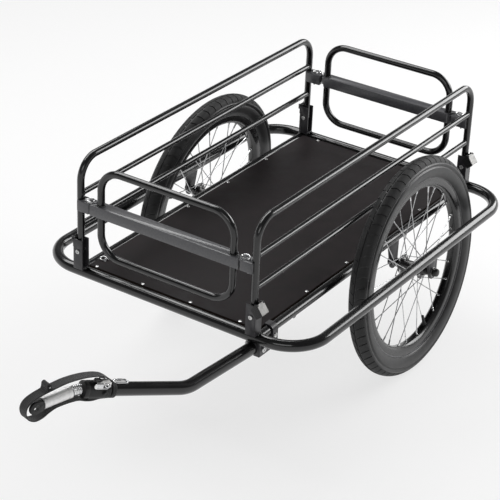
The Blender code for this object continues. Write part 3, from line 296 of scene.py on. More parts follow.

# %% [markdown]
# ## Finishes of the deck, the tyres and the strap
# The deck is plywood with a dark brown film pressed on, so its faces are smooth and only its cut
# edges show the plies. Tyre rubber is nearly black and dull, with patches of grey dust. The strap
# is nylon webbing, whose weave follows its own length, so that material reads the strap's UV map.

# %% Deck, rubber and webbing finishes
# How far apart in metres: two plies, the ribs of the mould, and the ribs of the weave.
PLY_PAIR, MOULD_RIB, WEAVE_RIB = 0.003, 0.002, 0.0016


def film_faced_plywood():
    """Film with a fine grain about 2 mm across and scuffs, and plies 1.5 mm thick on the cut edges."""
    tree, where, end_finish = start_finish("film_faced_plywood", Specular_IOR_Level=0.14)
    scuff = blotches(tree, where, 35, 8.0)
    fine = blotches(tree, where, 2.2, 4.0)
    film = tint(tree, spread(tree, scuff, 0, 1, 0.35, 0.7), "#1d191a", "#292425")
    upward = axis_of(tree, add(tree, "ShaderNodeNewGeometry").outputs["Normal"], "Z")
    edge = maths(tree, "LESS_THAN", maths(tree, "ABSOLUTE", upward), 0.5)
    ply = spread(tree, waves(tree, axis_of(tree, where, "Z"), PLY_PAIR), 0, 1, -0.4, 0.4)
    colour = tint(tree, edge, film, tint(tree, ply, "#1c1512", "#33281e"))
    return end_finish(colour, spread(tree, scuff, 0.5, 0.66), emboss(tree, fine, 0.05))


def tyre_rubber(name, dark, light, roughness, ribbed):
    """Vulcanised rubber: dull black with grey dust, and mould ribs 2 mm apart on the sidewall."""
    tree, where, end_finish = start_finish(name, Sheen_Weight=0.06, Sheen_Roughness=0.5)
    dust = spread(tree, blotches(tree, where, 14, 6.0), 0, 1, 0.4, 0.75)
    height = pores = blotches(tree, where, 1.2, 3.0)
    if ribbed:
        uv = add(tree, "ShaderNodeUVMap", uv_map="round_and_across").outputs["UV"]
        rib = spread(tree, waves(tree, axis_of(tree, uv, "Y"), MOULD_RIB), 0, 1, -1, 1)
        height = maths(tree, "ADD", rib, pores)
    gloss = spread(tree, pores, roughness - 0.05, roughness + 0.08)
    return end_finish(tint(tree, dust, dark, light), gloss, emboss(tree, height, 0.03))


def nylon_webbing():
    """Woven tape with ribs 1.6 mm apart, along it and across it."""
    tree, where, end_finish = start_finish("woven_nylon_webbing", Sheen_Weight=0.25, Sheen_Roughness=0.4)
    uv = add(tree, "ShaderNodeUVMap", uv_map="along_and_across").outputs["UV"]
    ribs = [waves(tree, axis_of(tree, uv, axis), WEAVE_RIB) for axis in "XY"]
    weave = maths(tree, "MULTIPLY", *ribs)
    colour = tint(tree, spread(tree, weave, 0, 1, -0.8, 0.8), "#1d1d1e", "#363637")
    fuzz = spread(tree, blotches(tree, where, 1.0, 4.0), 0.7, 0.9)
    return end_finish(colour, fuzz, emboss(tree, weave, 0.25))


PLYWOOD = film_faced_plywood()
RUBBER = tyre_rubber("vulcanised_sidewall_rubber", "#1d1d1e", "#2a2a2b", 0.38, True)
TREAD_RUBBER = tyre_rubber("vulcanised_tread_rubber", "#0f0f10", "#19191a", 0.66, False)
WEBBING = nylon_webbing()
THREAD = powder_coat("waxed_polyester_thread", "#5a5a5c", "#77777a", 0.6, 0.0)
print(len(bpy.data.materials), "materials in all")

# %% [markdown]
# ## Ways to make a mesh
# Most of the trailer is bent tube, turned metal or folded sheet. So three small tools make nearly
# everything: one carries a section along a path, one turns a profile about an axle, and one takes a
# copy of a CAD solid and rounds its edges, because real edges are never knife sharp and a rounded
# edge is what catches the light.

# %% Paths and sections
def mm(*points):
    """Points that are written in millimetres, turned into metres."""
    return [tuple(v / 1000 for v in point) for point in points]


def circle(radius, count):
    """Points round a circle."""
    turns = [2 * math.pi * i / count for i in range(count)]
    return [(radius * math.cos(t), radius * math.sin(t)) for t in turns]


def rectangle(half_width, low, high):
    """The four corners of an upright rectangle about the middle."""
    return [(half_width, low), (half_width, high), (-half_width, high), (-half_width, low)]


def rounded_path(corners, radius, steps, closed=False):
    """The corner points of a bent tube with each inner corner turned into an arc."""
    corners = [Vector(corner) for corner in corners]
    points = []
    for i, corner in enumerate(corners):
        if not closed and i in (0, len(corners) - 1):
            points.append(corner)
            continue
        before = (corners[i - 1] - corner).normalized()
        after = (corners[(i + 1) % len(corners)] - corner).normalized()
        half = before.angle(after) / 2
        reach = radius / math.tan(half)
        centre = corner + (before + after).normalized() * (radius / math.sin(half))
        first = corner + before * reach - centre
        last = corner + after * reach - centre
        turn = first.angle(last)
        for k in range(steps + 1):
            near = math.sin((1 - k / steps) * turn) / math.sin(turn)
            far = math.sin(k / steps * turn) / math.sin(turn)
            points.append(centre + first * near + last * far)
    return points


def smooth_route(points, steps):
    """Points on the Catmull-Rom curve through a list of vectors."""
    ends = [points[0], *points, points[-1]]
    route = []
    for a, b, c, d in zip(ends, ends[1:], ends[2:], ends[3:]):
        for t in [k / steps for k in range(steps)]:
            outer = a * (-t + 2 * t**2 - t**3) + d * (t**3 - t**2)
            inner = b * (2 - 5 * t**2 + 3 * t**3) + c * (t + 4 * t**2 - 3 * t**3)
            route.append((outer + inner) / 2)
    return [*route, points[-1]]


def length_mm(path):
    """The length of a path in whole millimetres."""
    return round(sum((b - a).length for a, b in zip(path, path[1:])) * 1000)


print("a circle of four points:", [(round(x), round(y)) for x, y in circle(1, 4)])

# %% Sections along paths, and turned profiles
def map_face(face, layer, corners):
    """Writes the flat coordinates of a face's corners, in metres."""
    for loop, corner in zip(face.loops, corners):
        loop[layer].uv = corner


def sweep(work, path, section, closed=False, side=None, scales=None, uv=None):
    """Carries a closed section along a path without twist. A UV layer gets metres along and across."""
    path = [Vector(p) for p in path]
    count, size = len(path), len(section)
    legs = [(b - a).normalized() for a, b in zip(path, path[1:] + path[:1])]
    runs = [(legs[i - 1] + legs[i]).normalized() for i in range(count)]
    if not closed:
        runs[0], runs[-1] = legs[0], legs[-2]
    across = Vector(side) if side else runs[0].orthogonal()
    across = (across - runs[0] * across.dot(runs[0])).normalized()
    layer = work.loops.layers.uv.get(uv) or work.loops.layers.uv.new(uv) if uv else None
    rings, marks = [], [0.0]
    for i, (place, run) in enumerate(zip(path, runs)):
        if i:
            across = runs[i - 1].rotation_difference(run) @ across
            marks.append(marks[-1] + (place - path[i - 1]).length)
        up = run.cross(across)
        share = scales[i] if scales else 1.0
        rings.append([work.verts.new(place + (across * a + up * b) * share) for a, b in section])
    marks.append(marks[-1] + (path[0] - path[-1]).length)
    for i in range(count if closed else count - 1):
        ring, after = rings[i], rings[(i + 1) % count]
        for k in range(size):
            made = work.faces.new((ring[k - 1], ring[k], after[k], after[k - 1]))
            if layer:
                a, b = section[k - 1][0], section[k][0]
                here, there = marks[i], marks[i + 1]
                map_face(made, layer, ((here, a), (here, b), (there, b), (there, a)))
    if not closed:
        work.faces.new(rings[0])
        work.faces.new(rings[-1][::-1])


def turn_profile(work, profile, steps, place=None, closed=False, uv=None):
    """Turns (x, radius) points about the X axis, then puts them in place. An open profile gets a flat
    end. A UV layer gets metres round and across."""
    place = place or Matrix.Identity(4)
    layer = work.loops.layers.uv.new(uv) if uv else None
    marks = [0.0]
    for (x, r), (x_next, r_next) in zip(profile, profile[1:] + profile[:1]):
        marks.append(marks[-1] + math.hypot(x_next - x, r_next - r))
    round_once = 2 * math.pi * max(r for _, r in profile)
    rings = [
        [work.verts.new(place @ Vector((x, r * c, r * s))) for x, r in profile] for c, s in circle(1, steps)
    ]
    size = len(profile)
    for i in range(steps):
        ring, after = rings[i], rings[(i + 1) % steps]
        for k in range(size if closed else size - 1):
            j = (k + 1) % size
            made = work.faces.new((ring[k], ring[j], after[j], after[k]))
            if layer:
                here, there = (round_once * n / steps for n in (i, i + 1))
                near, far = marks[k], marks[k + 1]
                map_face(made, layer, ((here, near), (here, far), (there, far), (there, near)))
    if not closed:
        work.faces.new([ring[0] for ring in rings])
        work.faces.new([ring[-1] for ring in rings][::-1])


def skin(work, rings):
    """Faces between rings of points, with a face on both ends, which are returned."""
    for ring, after in zip(rings, rings[1:]):
        for k in range(len(ring)):
            work.faces.new((ring[k - 1], ring[k], after[k], after[k - 1]))
    return work.faces.new(rings[0]), work.faces.new(rings[-1][::-1])


def slab(work, place, outline, half_width):
    """An outline (out, up) extruded to both sides."""
    skin(work, [[work.verts.new(place @ Vector((u, across, v))) for u, v in outline]
                for across in (-half_width, half_width)])


def turned_about(place, degrees, axis):
    """A place turned about one of its own axes."""
    return place @ Matrix.Rotation(math.radians(degrees), 4, axis)


def aim(place, direction):
    """The matrix that carries the X axis to a direction at a place."""
    turn = Vector((1, 0, 0)).rotation_difference(Vector(direction)).to_matrix().to_4x4()
    return Matrix.Translation(Vector(place)) @ turn


print("an X axis aimed up:", [round(v) for v in aim((0, 0, 0), Z_AXIS) @ Vector((1, 0, 0))])

# %% Finished pieces
def mesh_of(work):
    """Ends a bmesh as a plain mesh whose faces look outwards."""
    bmesh.ops.recalc_face_normals(work, faces=work.faces)
    mesh = bpy.data.meshes.new("mesh")
    work.to_mesh(mesh)
    work.free()
    return mesh


def baked(obj):
    """The plain mesh that an object's modifiers make of it. The object itself is removed."""
    bpy.context.view_layer.update()
    made = bpy.data.meshes.new_from_object(obj.evaluated_get(bpy.context.evaluated_depsgraph_get()))
    bpy.data.objects.remove(obj)
    return made


def dress(name, mesh, finish, body, stands_for=(), angle=32):
    """Gives a finished mesh its material, its smooth shading and its body."""
    obj = linked(name, mesh)
    mesh.name = name
    if not mesh.materials:
        mesh.materials.append(finish)
    mesh.shade_smooth()
    mesh.set_sharp_from_angle(angle=math.radians(angle))
    if body:
        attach(obj, body)
    if stands_for:
        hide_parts(*stands_for)
    return obj


def piece(name, work, finish, body, stands_for=(), angle=32):
    """Turns a bmesh into a finished piece that rides on a body."""
    bmesh.ops.remove_doubles(work, verts=work.verts, dist=1e-6)
    return dress(name, mesh_of(work), finish, body, stands_for, angle)


def swept(name, path, section, finish, body, stands_for=(), slot=None, angle=32, **how):
    """A piece that is one section carried along one path."""
    work = bmesh.new()
    sweep(work, path, section, **how)
    return piece(name, work, finish, body, stands_for, angle)


def turned(name, profile, steps, finish, body, place, stands_for=(), slot=None, angle=32, **how):
    """A piece that is one turned profile."""
    work = bmesh.new()
    turn_profile(work, profile, steps, place, **how)
    return piece(name, work, finish, body, stands_for, angle)


def softened(node, width_mm, finish, body, lowest=None):
    """A copy of a CAD solid with its sharp edges rounded, which stands for the solid. It may be cut
    off below a height."""
    work = bmesh.new()
    work.from_mesh(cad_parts[node].data)
    bmesh.ops.remove_doubles(work, verts=work.verts, dist=1e-6)
    if lowest is not None:
        parts = work.verts[:] + work.edges[:] + work.faces[:]
        plane = {"plane_co": (0, 0, lowest), "plane_no": (0, 0, -1)}
        cut = bmesh.ops.bisect_plane(work, geom=parts, clear_outer=True, **plane)["geom_cut"]
        rim = [e for e in cut if isinstance(e, bmesh.types.BMEdge)]
        bmesh.ops.triangle_fill(work, use_beauty=True, edges=rim)
        bmesh.ops.recalc_face_normals(work, faces=work.faces)
    bmesh.ops.dissolve_limit(work, angle_limit=math.radians(1.0), verts=work.verts, edges=work.edges)
    rough = linked("rough", mesh_of(work))
    bevel = rough.modifiers.new("edges", "BEVEL")
    bevel.width = width_mm / 1000
    bevel.segments = 2
    bevel.limit_method = "ANGLE"
    bevel.angle_limit = math.radians(30)
    made = baked(rough)
    made.materials.clear()
    return dress(node + "_finished", made, finish, body, [node])


print("mesh tools ready")

# %% [markdown]
# ## Copies with Geometry Nodes
# Tread blocks, spokes, weld beads, screws and stitches are all one small shape, repeated. Three node
# trees do that: one turns copies about an axle, one sets them along a line, and one puts them on
# single points. Each has named inputs for its sizes and ends in real geometry with a material.

# %% Node trees for copies
def new_tree(name, **sockets):
    """A node tree with these inputs, and what they give. Each entry is (kind, value)."""
    tree = bpy.data.node_groups.new(name, "GeometryNodeTree")
    tree.interface.new_socket("Geometry", in_out="INPUT", socket_type="NodeSocketGeometry")
    for label, (kind, value) in sockets.items():
        socket = tree.interface.new_socket(label, in_out="INPUT", socket_type="NodeSocket" + kind)
        if value is not None:
            socket.default_value = value
    tree.interface.new_socket("Geometry", in_out="OUTPUT", socket_type="NodeSocketGeometry")
    return tree, add(tree, "NodeGroupInput").outputs


def close_tree(tree, given, points, shape, **how):
    """Ends a tree with a copy of the shape on each point, as real geometry with its material."""
    copies = add(tree, "GeometryNodeInstanceOnPoints", {"Points": points, "Instance": shape, **how})
    real = add(tree, "GeometryNodeRealizeInstances", {"Geometry": copies.outputs[0]})
    made = add(tree, "GeometryNodeSetMaterial", {"Geometry": real.outputs[0], "Material": given["Finish"]})
    add(tree, "NodeGroupOutput", {"Geometry": made.outputs[0]})
    return tree


def turn_of(tree, **angles):
    """A rotation from its angles about the axes."""
    euler = add(tree, "ShaderNodeCombineXYZ", angles).outputs[0]
    return add(tree, "FunctionNodeEulerToRotation", {"Euler": euler}).outputs[0]


def chance(tree, given, low, high):
    """A random number for each point."""
    inputs = {2: low, 3: high, "Seed": given["Seed"]}
    return add(tree, "FunctionNodeRandomValue", inputs, data_type="FLOAT").outputs[1]


def shape_of(tree, given):
    """The geometry of the shape to be repeated."""
    return add(tree, "GeometryNodeObjectInfo", {"Object": given["Shape"]}).outputs["Geometry"]


def around_tree():
    """Copies about the X axis."""
    tree, given = new_tree("copies_around_axle", Count=("Int", 8), Finish=("Material", None))
    points = add(tree, "GeometryNodePoints", {"Count": given["Count"]}).outputs[0]
    step = maths(tree, "DIVIDE", 2 * math.pi, given["Count"])
    angle = maths(tree, "MULTIPLY", add(tree, "GeometryNodeInputIndex").outputs[0], step)
    return close_tree(tree, given, points, given["Geometry"], Rotation=turn_of(tree, X=angle))


def along_tree():
    """Copies along a line, a little uneven in size."""
    tree, given = new_tree(
        "copies_along_line", Shape=("Object", None), Pitch=("Float", 0.002), Unevenness=("Float", 0.15),
        Seed=("Int", 7), Finish=("Material", None),
    )
    line = add(tree, "GeometryNodeMeshToCurve", {"Mesh": given["Geometry"]}).outputs[0]
    dots = add(tree, "GeometryNodeResampleCurve", {"Curve": line, "Length": given["Pitch"]}, mode="LENGTH")
    run = add(tree, "GeometryNodeInputTangent").outputs[0]
    turn = add(tree, "FunctionNodeAlignRotationToVector", {"Vector": run}, axis="X").outputs[0]
    low, high = (maths(tree, way, 1.0, given["Unevenness"]) for way in ("SUBTRACT", "ADD"))
    how = {"Rotation": turn, "Scale": chance(tree, given, low, high)}
    return close_tree(tree, given, dots.outputs[0], shape_of(tree, given), **how)


def on_points_tree():
    """Copies on points, each turned about Z by chance."""
    tree, given = new_tree(
        "copies_on_points", Shape=("Object", None), Seed=("Int", 3), Finish=("Material", None)
    )
    dots = add(tree, "GeometryNodeMeshToPoints", {"Mesh": given["Geometry"]}).outputs[0]
    turn = turn_of(tree, Z=chance(tree, given, 0.0, 2 * math.pi))
    return close_tree(tree, given, dots, shape_of(tree, given), Rotation=turn)


AROUND, ALONG, ON_POINTS = around_tree(), along_tree(), on_points_tree()


def grown(mesh, tree, **inputs):
    """The plain mesh that a node tree makes from a mesh."""
    seed = linked("seed", mesh)
    modifier = seed.modifiers.new("copies", "NODES")
    modifier.node_group = tree
    for item in tree.interface.items_tree:
        if item.in_out == "INPUT" and item.name in inputs:
            modifier[item.identifier] = inputs[item.name]
    return baked(seed)


def shape_object(name, work):
    """A hidden object that holds the one small shape to be repeated."""
    mesh = mesh_of(work)
    mesh.shade_smooth()
    obj = linked(name, mesh)
    obj.hide_render = True
    return obj


def line_mesh(loops):
    """Lines of points as one mesh of edges. Each entry is (points, closed)."""
    work = bmesh.new()
    for points, closed in loops:
        verts = [work.verts.new(p) for p in points]
        for i in range(len(verts) - (0 if closed else 1)):
            work.edges.new((verts[i], verts[(i + 1) % len(verts)]))
    return mesh_of(work)


print("node trees:", [tree.name for tree in (AROUND, ALONG, ON_POINTS)])

# %% [markdown]
# ## Sizes
# The pieces below go where the CAD solids are, so they use the same sizes, in metres. The frame is a
# bent bumper tube round the outside, two side rails and three cross tubes under the deck, all at
# axle-plate height. Two hoops stand on it, and the wheels lean in at the top by about four degrees.

# %% Sizes of the frame and the wheels
BUMPER_Y = {"front": -0.17655, "rear": 0.70645}
FRONT_Y, REAR_Y = BUMPER_Y.values()
POST_Y = {end: y - 0.006 for end, y in BUMPER_Y.items()}
FRAME_Z, BUMPER_X, BUMPER_RADIUS, BUMPER_BEND = 0.3065, 0.337, 0.0125, 0.088
RAIL_X, RAIL_RADIUS, CROSS_RADIUS, CROSS_Z = 0.2285, 0.010, 0.009, 0.2972
CROSS_Y = {"front": FRONT_Y + 0.140, "middle": FRONT_Y + 0.455, "rear": REAR_Y - 0.140}
DECK_TOP = 0.3155
PANEL_X, HOOP_RADIUS, HOOP_BEND, HINGE_Z, PANEL_TOP = 0.2215, 0.008, 0.048, 0.360, 0.570
MID_RAIL_Z, MID_RAIL_RADIUS = {"lower": 0.422, "upper": 0.494}, 0.0063
GATE_X, GATE_LOW, GATE_TOP, GATE_BEND = 0.1675, 0.367, 0.5665, 0.050
BAR_Z, BAR_HEIGHT, PIN_X = 0.471, 0.024, 0.204
BRACKET_HALF_DEPTH, BRACKET_OUTER_X, BRACKET_WIDTH, BRACKET_FOOT_Z = 0.0115, 0.2335, 0.024, 0.3176
CAMBER = math.radians(4.2)
WHEEL_X, AXLE_Y, AXLE_Z = 0.28275, 0.36795, 0.25332
PLATE_OFFSET, PLATE_THICKNESS = 0.050, 0.004
# The gap left between faces that touch on the real trailer.
CLOSE = 0.0003


def wheel_matrix(sign):
    """Carries a shape built about the X axis to a wheel's leaning axle."""
    return Matrix.Translation((sign * WHEEL_X, AXLE_Y, AXLE_Z)) @ Matrix.Rotation(-sign * CAMBER, 4, "Y")


# %% [markdown]
# ## Tubes of the frame
# Each tube is a circle carried along its bent middle line. With 32 sides the outline and the long
# highlights stay smooth, where the CAD solids have only 12. The rails and cross tubes run into the
# tubes that carry them, as welded tubes do.

# %% Frame tubes
def tube(name, path, radius, body, node, closed=False, sides=32):
    """A painted tube along a path, which stands for a CAD solid."""
    swept(name, path, circle(radius, sides), GLOSS_BLACK, body, [node], "black_paint", closed=closed)


corners = [(x, y, FRAME_Z) for x, y in rectangle(BUMPER_X, FRONT_Y, REAR_Y)]
path = rounded_path(corners, BUMPER_BEND, 20, closed=True)
tube("bumper_tube_bent", path, BUMPER_RADIUS, "frame", "bumper_tube", closed=True)
for side, sign in SIDES.items():
    line = [(sign * RAIL_X, y, FRAME_Z) for y in (FRONT_Y, REAR_Y)]
    tube(side + "_side_rail_welded", line, RAIL_RADIUS, "frame", side + "_side_rail")
for place, y in CROSS_Y.items():
    line = [(x, y, CROSS_Z) for x in (-RAIL_X, RAIL_X)]
    tube(place + "_cross_tube_welded", line, CROSS_RADIUS, "frame", place + "_cross_tube")
print("frame tubes:", 1 + len(SIDES) + len(CROSS_Y))

# %% [markdown]
# ## Side panels and end gates
# A side panel is one tube bent into a hoop, with two straight rails between its legs. Its feet are
# rounded so that they can turn about the rivets. An end gate is a closed loop of the same tube with a
# box-section bar across it.

# %% Hoops, rails and gate loops
def hoop(side, sign):
    """The bent hoop, with a half ball under each foot."""
    front, rear = ([(sign * PANEL_X, y, z) for z in (HINGE_Z, PANEL_TOP)] for y in POST_Y.values())
    bend = rounded_path(front + rear[::-1], HOOP_BEND, 16)
    turns = [math.radians(a) for a in (87, 70, 50, 25)]
    drops = [Vector((0, 0, -HOOP_RADIUS * math.sin(t))) for t in turns]
    path = [bend[0] + drop for drop in drops] + bend + [bend[-1] + drop for drop in drops[::-1]]
    small = [math.cos(t) for t in turns]
    scales = small + [1.0] * len(bend) + small[::-1]
    how = {"stands_for": [side + "_panel_hoop"], "slot": "black_paint", "scales": scales}
    swept(side + "_hoop_bent", path, circle(HOOP_RADIUS, 32), GLOSS_BLACK, side + "_panel", **how)


for side, sign in SIDES.items():
    hoop(side, sign)
    for level, z in MID_RAIL_Z.items():
        past = max(0.0, z - PANEL_TOP + HOOP_BEND)
        inset = HOOP_BEND - math.sqrt(HOOP_BEND**2 - past**2)
        line = [(sign * PANEL_X, POST_Y[end] - way * inset, z) for end, way in ENDS.items()]
        name = "%s_%s_" % (side, level)
        tube(name + "rail_welded", line, MID_RAIL_RADIUS, side + "_panel", name + "mid_rail", sides=24)
for end in ENDS:
    corners = [(x, POST_Y[end], z) for x, z in rectangle(GATE_X, GATE_LOW, GATE_TOP)]
    path = rounded_path(corners, GATE_BEND, 16, closed=True)
    tube(end + "_gate_loop_bent", path, HOOP_RADIUS, end + "_gate", end + "_gate_loop", closed=True)
print("two hoops, four rails and two gate loops")

# %% [markdown]
# ## Pressed and cut parts
# The brackets, knuckles, crossbars, axle plates and deck are cut from sheet, bar and board. Their CAD
# solids already have the right shape, so each gets a copy with its edges rounded by half a millimetre
# or a little more, as a press or a file leaves them, and its own finish.

# %% Softened copies
for side in SIDES:
    for end in ENDS:
        corner = "%s_%s_" % (end, side)
        softened(corner + "hinge_bracket", 0.45, SATIN_BLACK, "frame", BRACKET_FOOT_Z)
        softened(corner + "gate_knuckle", 0.7, SATIN_GREY, side + "_panel")
    for place in ("inner", "outer"):
        softened("%s_%s_axle_plate" % (side, place), 0.5, SATIN_BLACK, "frame")
for end in ENDS:
    softened(end + "_gate_crossbar", 0.8, SATIN_GREY, end + "_gate")
softened("axle_bracket", 0.6, CAST_BLACK, "coupler")
softened("deck_panel", 0.8, PLYWOOD, "frame")
print("softened pieces made")

# %% [markdown]
# ## Wheels: tyre
# A 20 inch tyre has a round casing with a tread on top. Casting it whole with its grooves would take
# very many faces, so the casing is one turned profile, and one pitch of the tread, a pair of blocks
# either side of the centre groove, is repeated 66 times round the axle by Geometry Nodes.

# %% Tyre casing and tread
TYRE_MIDDLE, TYRE_HALF_WIDTH, TYRE_HALF_HEIGHT = 0.228, 0.0225, 0.026
TREAD_DEPTH, TREAD_COUNT, TREAD_EDGE_DEGREES, TREAD_SLOPE_DEGREES = 0.0016, 66, 60, 4
# Depth in metres, place and half width in degrees from the crown: a raised line, then two grooves.
SIDEWALL_LINES = ((-0.0008, 67.5, 3.8), (0.0025, 79, 7.5), (0.0019, 146, 5.5))


def tyre_point(turn, inset):
    """A point (x, radius) on the tyre's section, at this angle from the crown."""
    s, c = math.sin(turn), math.cos(turn)
    x = (TYRE_HALF_WIDTH - inset) * math.copysign(abs(s) ** 0.9, s)
    return x, TYRE_MIDDLE + (TYRE_HALF_HEIGHT - inset) * math.copysign(abs(c) ** 0.9, c)


def casing_profile(steps):
    """The tyre's body: lower by the tread's depth between the shoulders, with its sidewall lines."""
    profile = []
    for turn in [2 * math.pi * i / steps for i in range(steps)]:
        away = math.degrees(min(turn, 2 * math.pi - turn))
        inset = TREAD_DEPTH * min(1.0, max(0.0, (TREAD_EDGE_DEGREES - away) / TREAD_SLOPE_DEGREES))
        for depth, middle, half_width in SIDEWALL_LINES:
            inset += depth * max(0.0, 1 - abs(away - middle) / half_width)
        profile.append(tyre_point(turn, inset))
    return profile


def tread_pitch():
    """The pair of blocks of one pitch, whose edges lean in a shallow chevron."""
    work = bmesh.new()
    pitch = 2 * math.pi / TREAD_COUNT
    tread_radius = TYRE_MIDDLE + TYRE_HALF_HEIGHT
    half_gap, flare = 0.0015 / tread_radius, -0.0003 / tread_radius
    first, last, across = 0.06, 1.05, 8
    for way in (-1, 1):
        grids = []
        for inset, trim in ((0.0, half_gap), (TREAD_DEPTH + 0.0004, half_gap + flare)):
            grid = []
            for a in range(3):
                line = []
                for b in range(across + 1):
                    turn = way * (first + (last - first) * b / across)
                    x, radius = tyre_point(turn, inset)
                    lean = 0.030 * math.sin(min(1.0, abs(turn) / 0.75) * math.pi / 2)
                    shift = 0.5 * pitch if way > 0 else 0
                    angle = trim + (pitch - 2 * trim) * a / 2 + lean + shift
                    line.append(work.verts.new((x, radius * math.sin(angle), radius * math.cos(angle))))
                grid.append(line)
            grids.append(grid)
        upper, lower = grids
        for a in range(2):
            for b in range(across):
                work.faces.new((upper[a][b], upper[a + 1][b], upper[a + 1][b + 1], upper[a][b + 1]))
                work.faces.new((lower[a][b], lower[a][b + 1], lower[a + 1][b + 1], lower[a + 1][b]))
        for b in range(across):
            work.faces.new((upper[0][b], upper[0][b + 1], lower[0][b + 1], lower[0][b]))
            work.faces.new((upper[2][b + 1], upper[2][b], lower[2][b], lower[2][b + 1]))
        for a, b in ((0, 1), (1, 2)):
            work.faces.new((upper[b][0], upper[a][0], lower[a][0], lower[b][0]))
            work.faces.new((upper[a][-1], upper[b][-1], lower[b][-1], lower[a][-1]))
    return mesh_of(work)


for side, sign in SIDES.items():
    body, axle = side + "_wheel", wheel_matrix(sign)
    how = {"stands_for": [side + "_tyre"], "slot": "tyre_rubber", "closed": True, "uv": "round_and_across"}
    turned(side + "_tyre_casing", casing_profile(96), 128, RUBBER, body, axle, **how)
    tread = grown(tread_pitch(), AROUND, Count=TREAD_COUNT, Finish=TREAD_RUBBER)
    tread.transform(axle)
    dress(side + "_tyre_tread", tread, TREAD_RUBBER, body, angle=40)
    print(side, "tread faces:", len(tread.polygons))

# %% [markdown]
# ## Wheels: rim, hub and spokes
# The rim is a rolled aluminium channel, anodised black, with a light grey ring along each outer lip.
# 28 spokes are laced two ways from each hub flange, so the same four spokes repeat seven times round
# the axle. Each is a thin steel wire with a head at the flange and a nipple at the rim.

# %% Rims
RIM_HALF = mm(
    (0, 184), (5.5, 184.1), (8.2, 185.2), (12.6, 190.6), (13.4, 192.8), (13.5, 205), (13.2, 206.7),
    (12.4, 207.3), (11.5, 206.8), (10.5, 204.5), (6, 202.2), (0, 201.3),
)
# A light grey ring that lies along each outer lip of the rim.
RIM_EDGE = mm(
    (12.6, 205), (13.9, 205.3), (14.5, 206.4), (14.2, 207.7), (13.1, 208.2), (12.1, 207.7), (12.2, 206),
)

for side, sign in SIDES.items():
    body, axle = side + "_wheel", wheel_matrix(sign)
    profile = RIM_HALF + [(-x, r) for x, r in RIM_HALF[-2:0:-1]]
    how = {"stands_for": [side + "_rim"], "slot": "rim_black", "closed": True}
    turned(side + "_rim_channel", profile, 128, RIM_BLACK, body, axle, **how)
    work = bmesh.new()
    for way in (-1, 1):
        turn_profile(work, [(way * x, r) for x, r in RIM_EDGE], 128, axle, closed=True)
    piece(side + "_rim_edges", work, RIM_EDGE_GREY, body)
print("two rims")

# %% Hubs, spokes and nipples
FLANGE_X, FLANGE_HOLE_RADIUS, NIPPLE_RADIUS = 0.0245, 0.0190, 0.1835
SPOKE_COUNT, SPOKE_GROUP, SPOKE_LEAN, SPOKE_RADIUS = 28, 4, math.radians(77), 0.0011
HUB_HALF = mm(
    (0, 11.8), (10, 12), (18.5, 13), (21.8, 16), (22.8, 21.9), (23.3, 22.5), (25.7, 22.5), (26.2, 21.9),
    (26.6, 17), (28.4, 14), (34, 12.2), (35.2, 10.6), (43, 9.8), (44, 9), (44, 5.3),
)
NIPPLE = mm((-12.5, 1.3), (-12, 1.9), (-2.2, 2), (-1.8, 2.8), (0.6, 2.9))


def spoke_ends(index):
    """A spoke's inner and outer end, as in the CAD model, and the way its head looks."""
    flange = 1 if index % 2 else -1
    lean = 1 if index // 2 % 2 else -1
    rim_turn = 2 * math.pi * (index + 0.5) / SPOKE_COUNT
    hub_turn = rim_turn + lean * SPOKE_LEAN
    inner, outer = (
        Vector((flange * x, radius * math.cos(turn), radius * math.sin(turn)))
        for x, radius, turn in (
            (FLANGE_X + lean * 0.001, FLANGE_HOLE_RADIUS, hub_turn), (0.002, NIPPLE_RADIUS, rim_turn)
        )
    )
    return inner, outer, flange * lean


def spoke_set(nipples):
    """A group of neighbouring spokes, or the nipples on their outer ends."""
    work = bmesh.new()
    for inner, outer, way in map(spoke_ends, range(SPOKE_GROUP)):
        run = (outer - inner).normalized()
        if nipples:
            turn_profile(work, NIPPLE, 8, aim(outer, run))
        else:
            head = inner + Vector((way * -0.0030, 0, 0))
            path = [head, head + (inner - head) * 0.75, inner + run * 0.0012, inner + run * 0.004, outer]
            sweep(work, path, circle(SPOKE_RADIUS, 8))
            turn_profile(work, mm((-0.8, 2.1), (0.8, 2.1)), 8, aim(head, (way, 0, 0)))
    return mesh_of(work)


for side, sign in SIDES.items():
    body, axle = side + "_wheel", wheel_matrix(sign)
    profile = [(-x, r) for x, r in HUB_HALF[::-1]] + HUB_HALF[1:]
    node = side + "_hub_and_spokes"
    turned(side + "_hub_shell", profile, 40, RIM_BLACK, body, axle, [node], "rim_black", angle=28)
    for name, nipples, finish in (("spokes", False, STAINLESS), ("nipples", True, CHROME)):
        wires = grown(spoke_set(nipples), AROUND, Count=SPOKE_COUNT // SPOKE_GROUP, Finish=finish)
        wires.transform(axle)
        dress("%s_wheel_%s" % (side, name), wires, finish, body)
    print(side, "wheel laced with", SPOKE_COUNT, "spokes")

# %% [markdown]
# ## Axles and valves
# Each axle is a threaded steel rod, held in two plates by a nut outside each, with a collar between
# plate and hub. A nut is a hexagon with its corners turned off, and the outer one has a domed cap. The
# thread is a row of small ridges a millimetre apart, finer than the picture shows but right close up.

# %% Axles with nuts and threads
THREAD_PITCH, THREAD_DEPTH, AXLE_RADIUS, THREAD_END = 0.001, 0.0004, 0.005, 0.0612


def hex_nut(work, place, low, high, radius):
    """A hexagonal nut along X with its corners turned off at both faces."""
    chamfer, cut, flat = 0.0009, 0.86, math.cos(math.pi / 6)
    rings = []
    for x, most in ((low, cut), (low + chamfer, 1.0), (high - chamfer, 1.0), (high, cut)):
        ring = []
        for i, (c, s) in enumerate(circle(1, 12)):
            reach = radius * min(most, flat if i % 2 else 1.0)
            ring.append(work.verts.new(place @ Vector((x, reach * c, reach * s))))
        rings.append(ring)
    skin(work, rings)


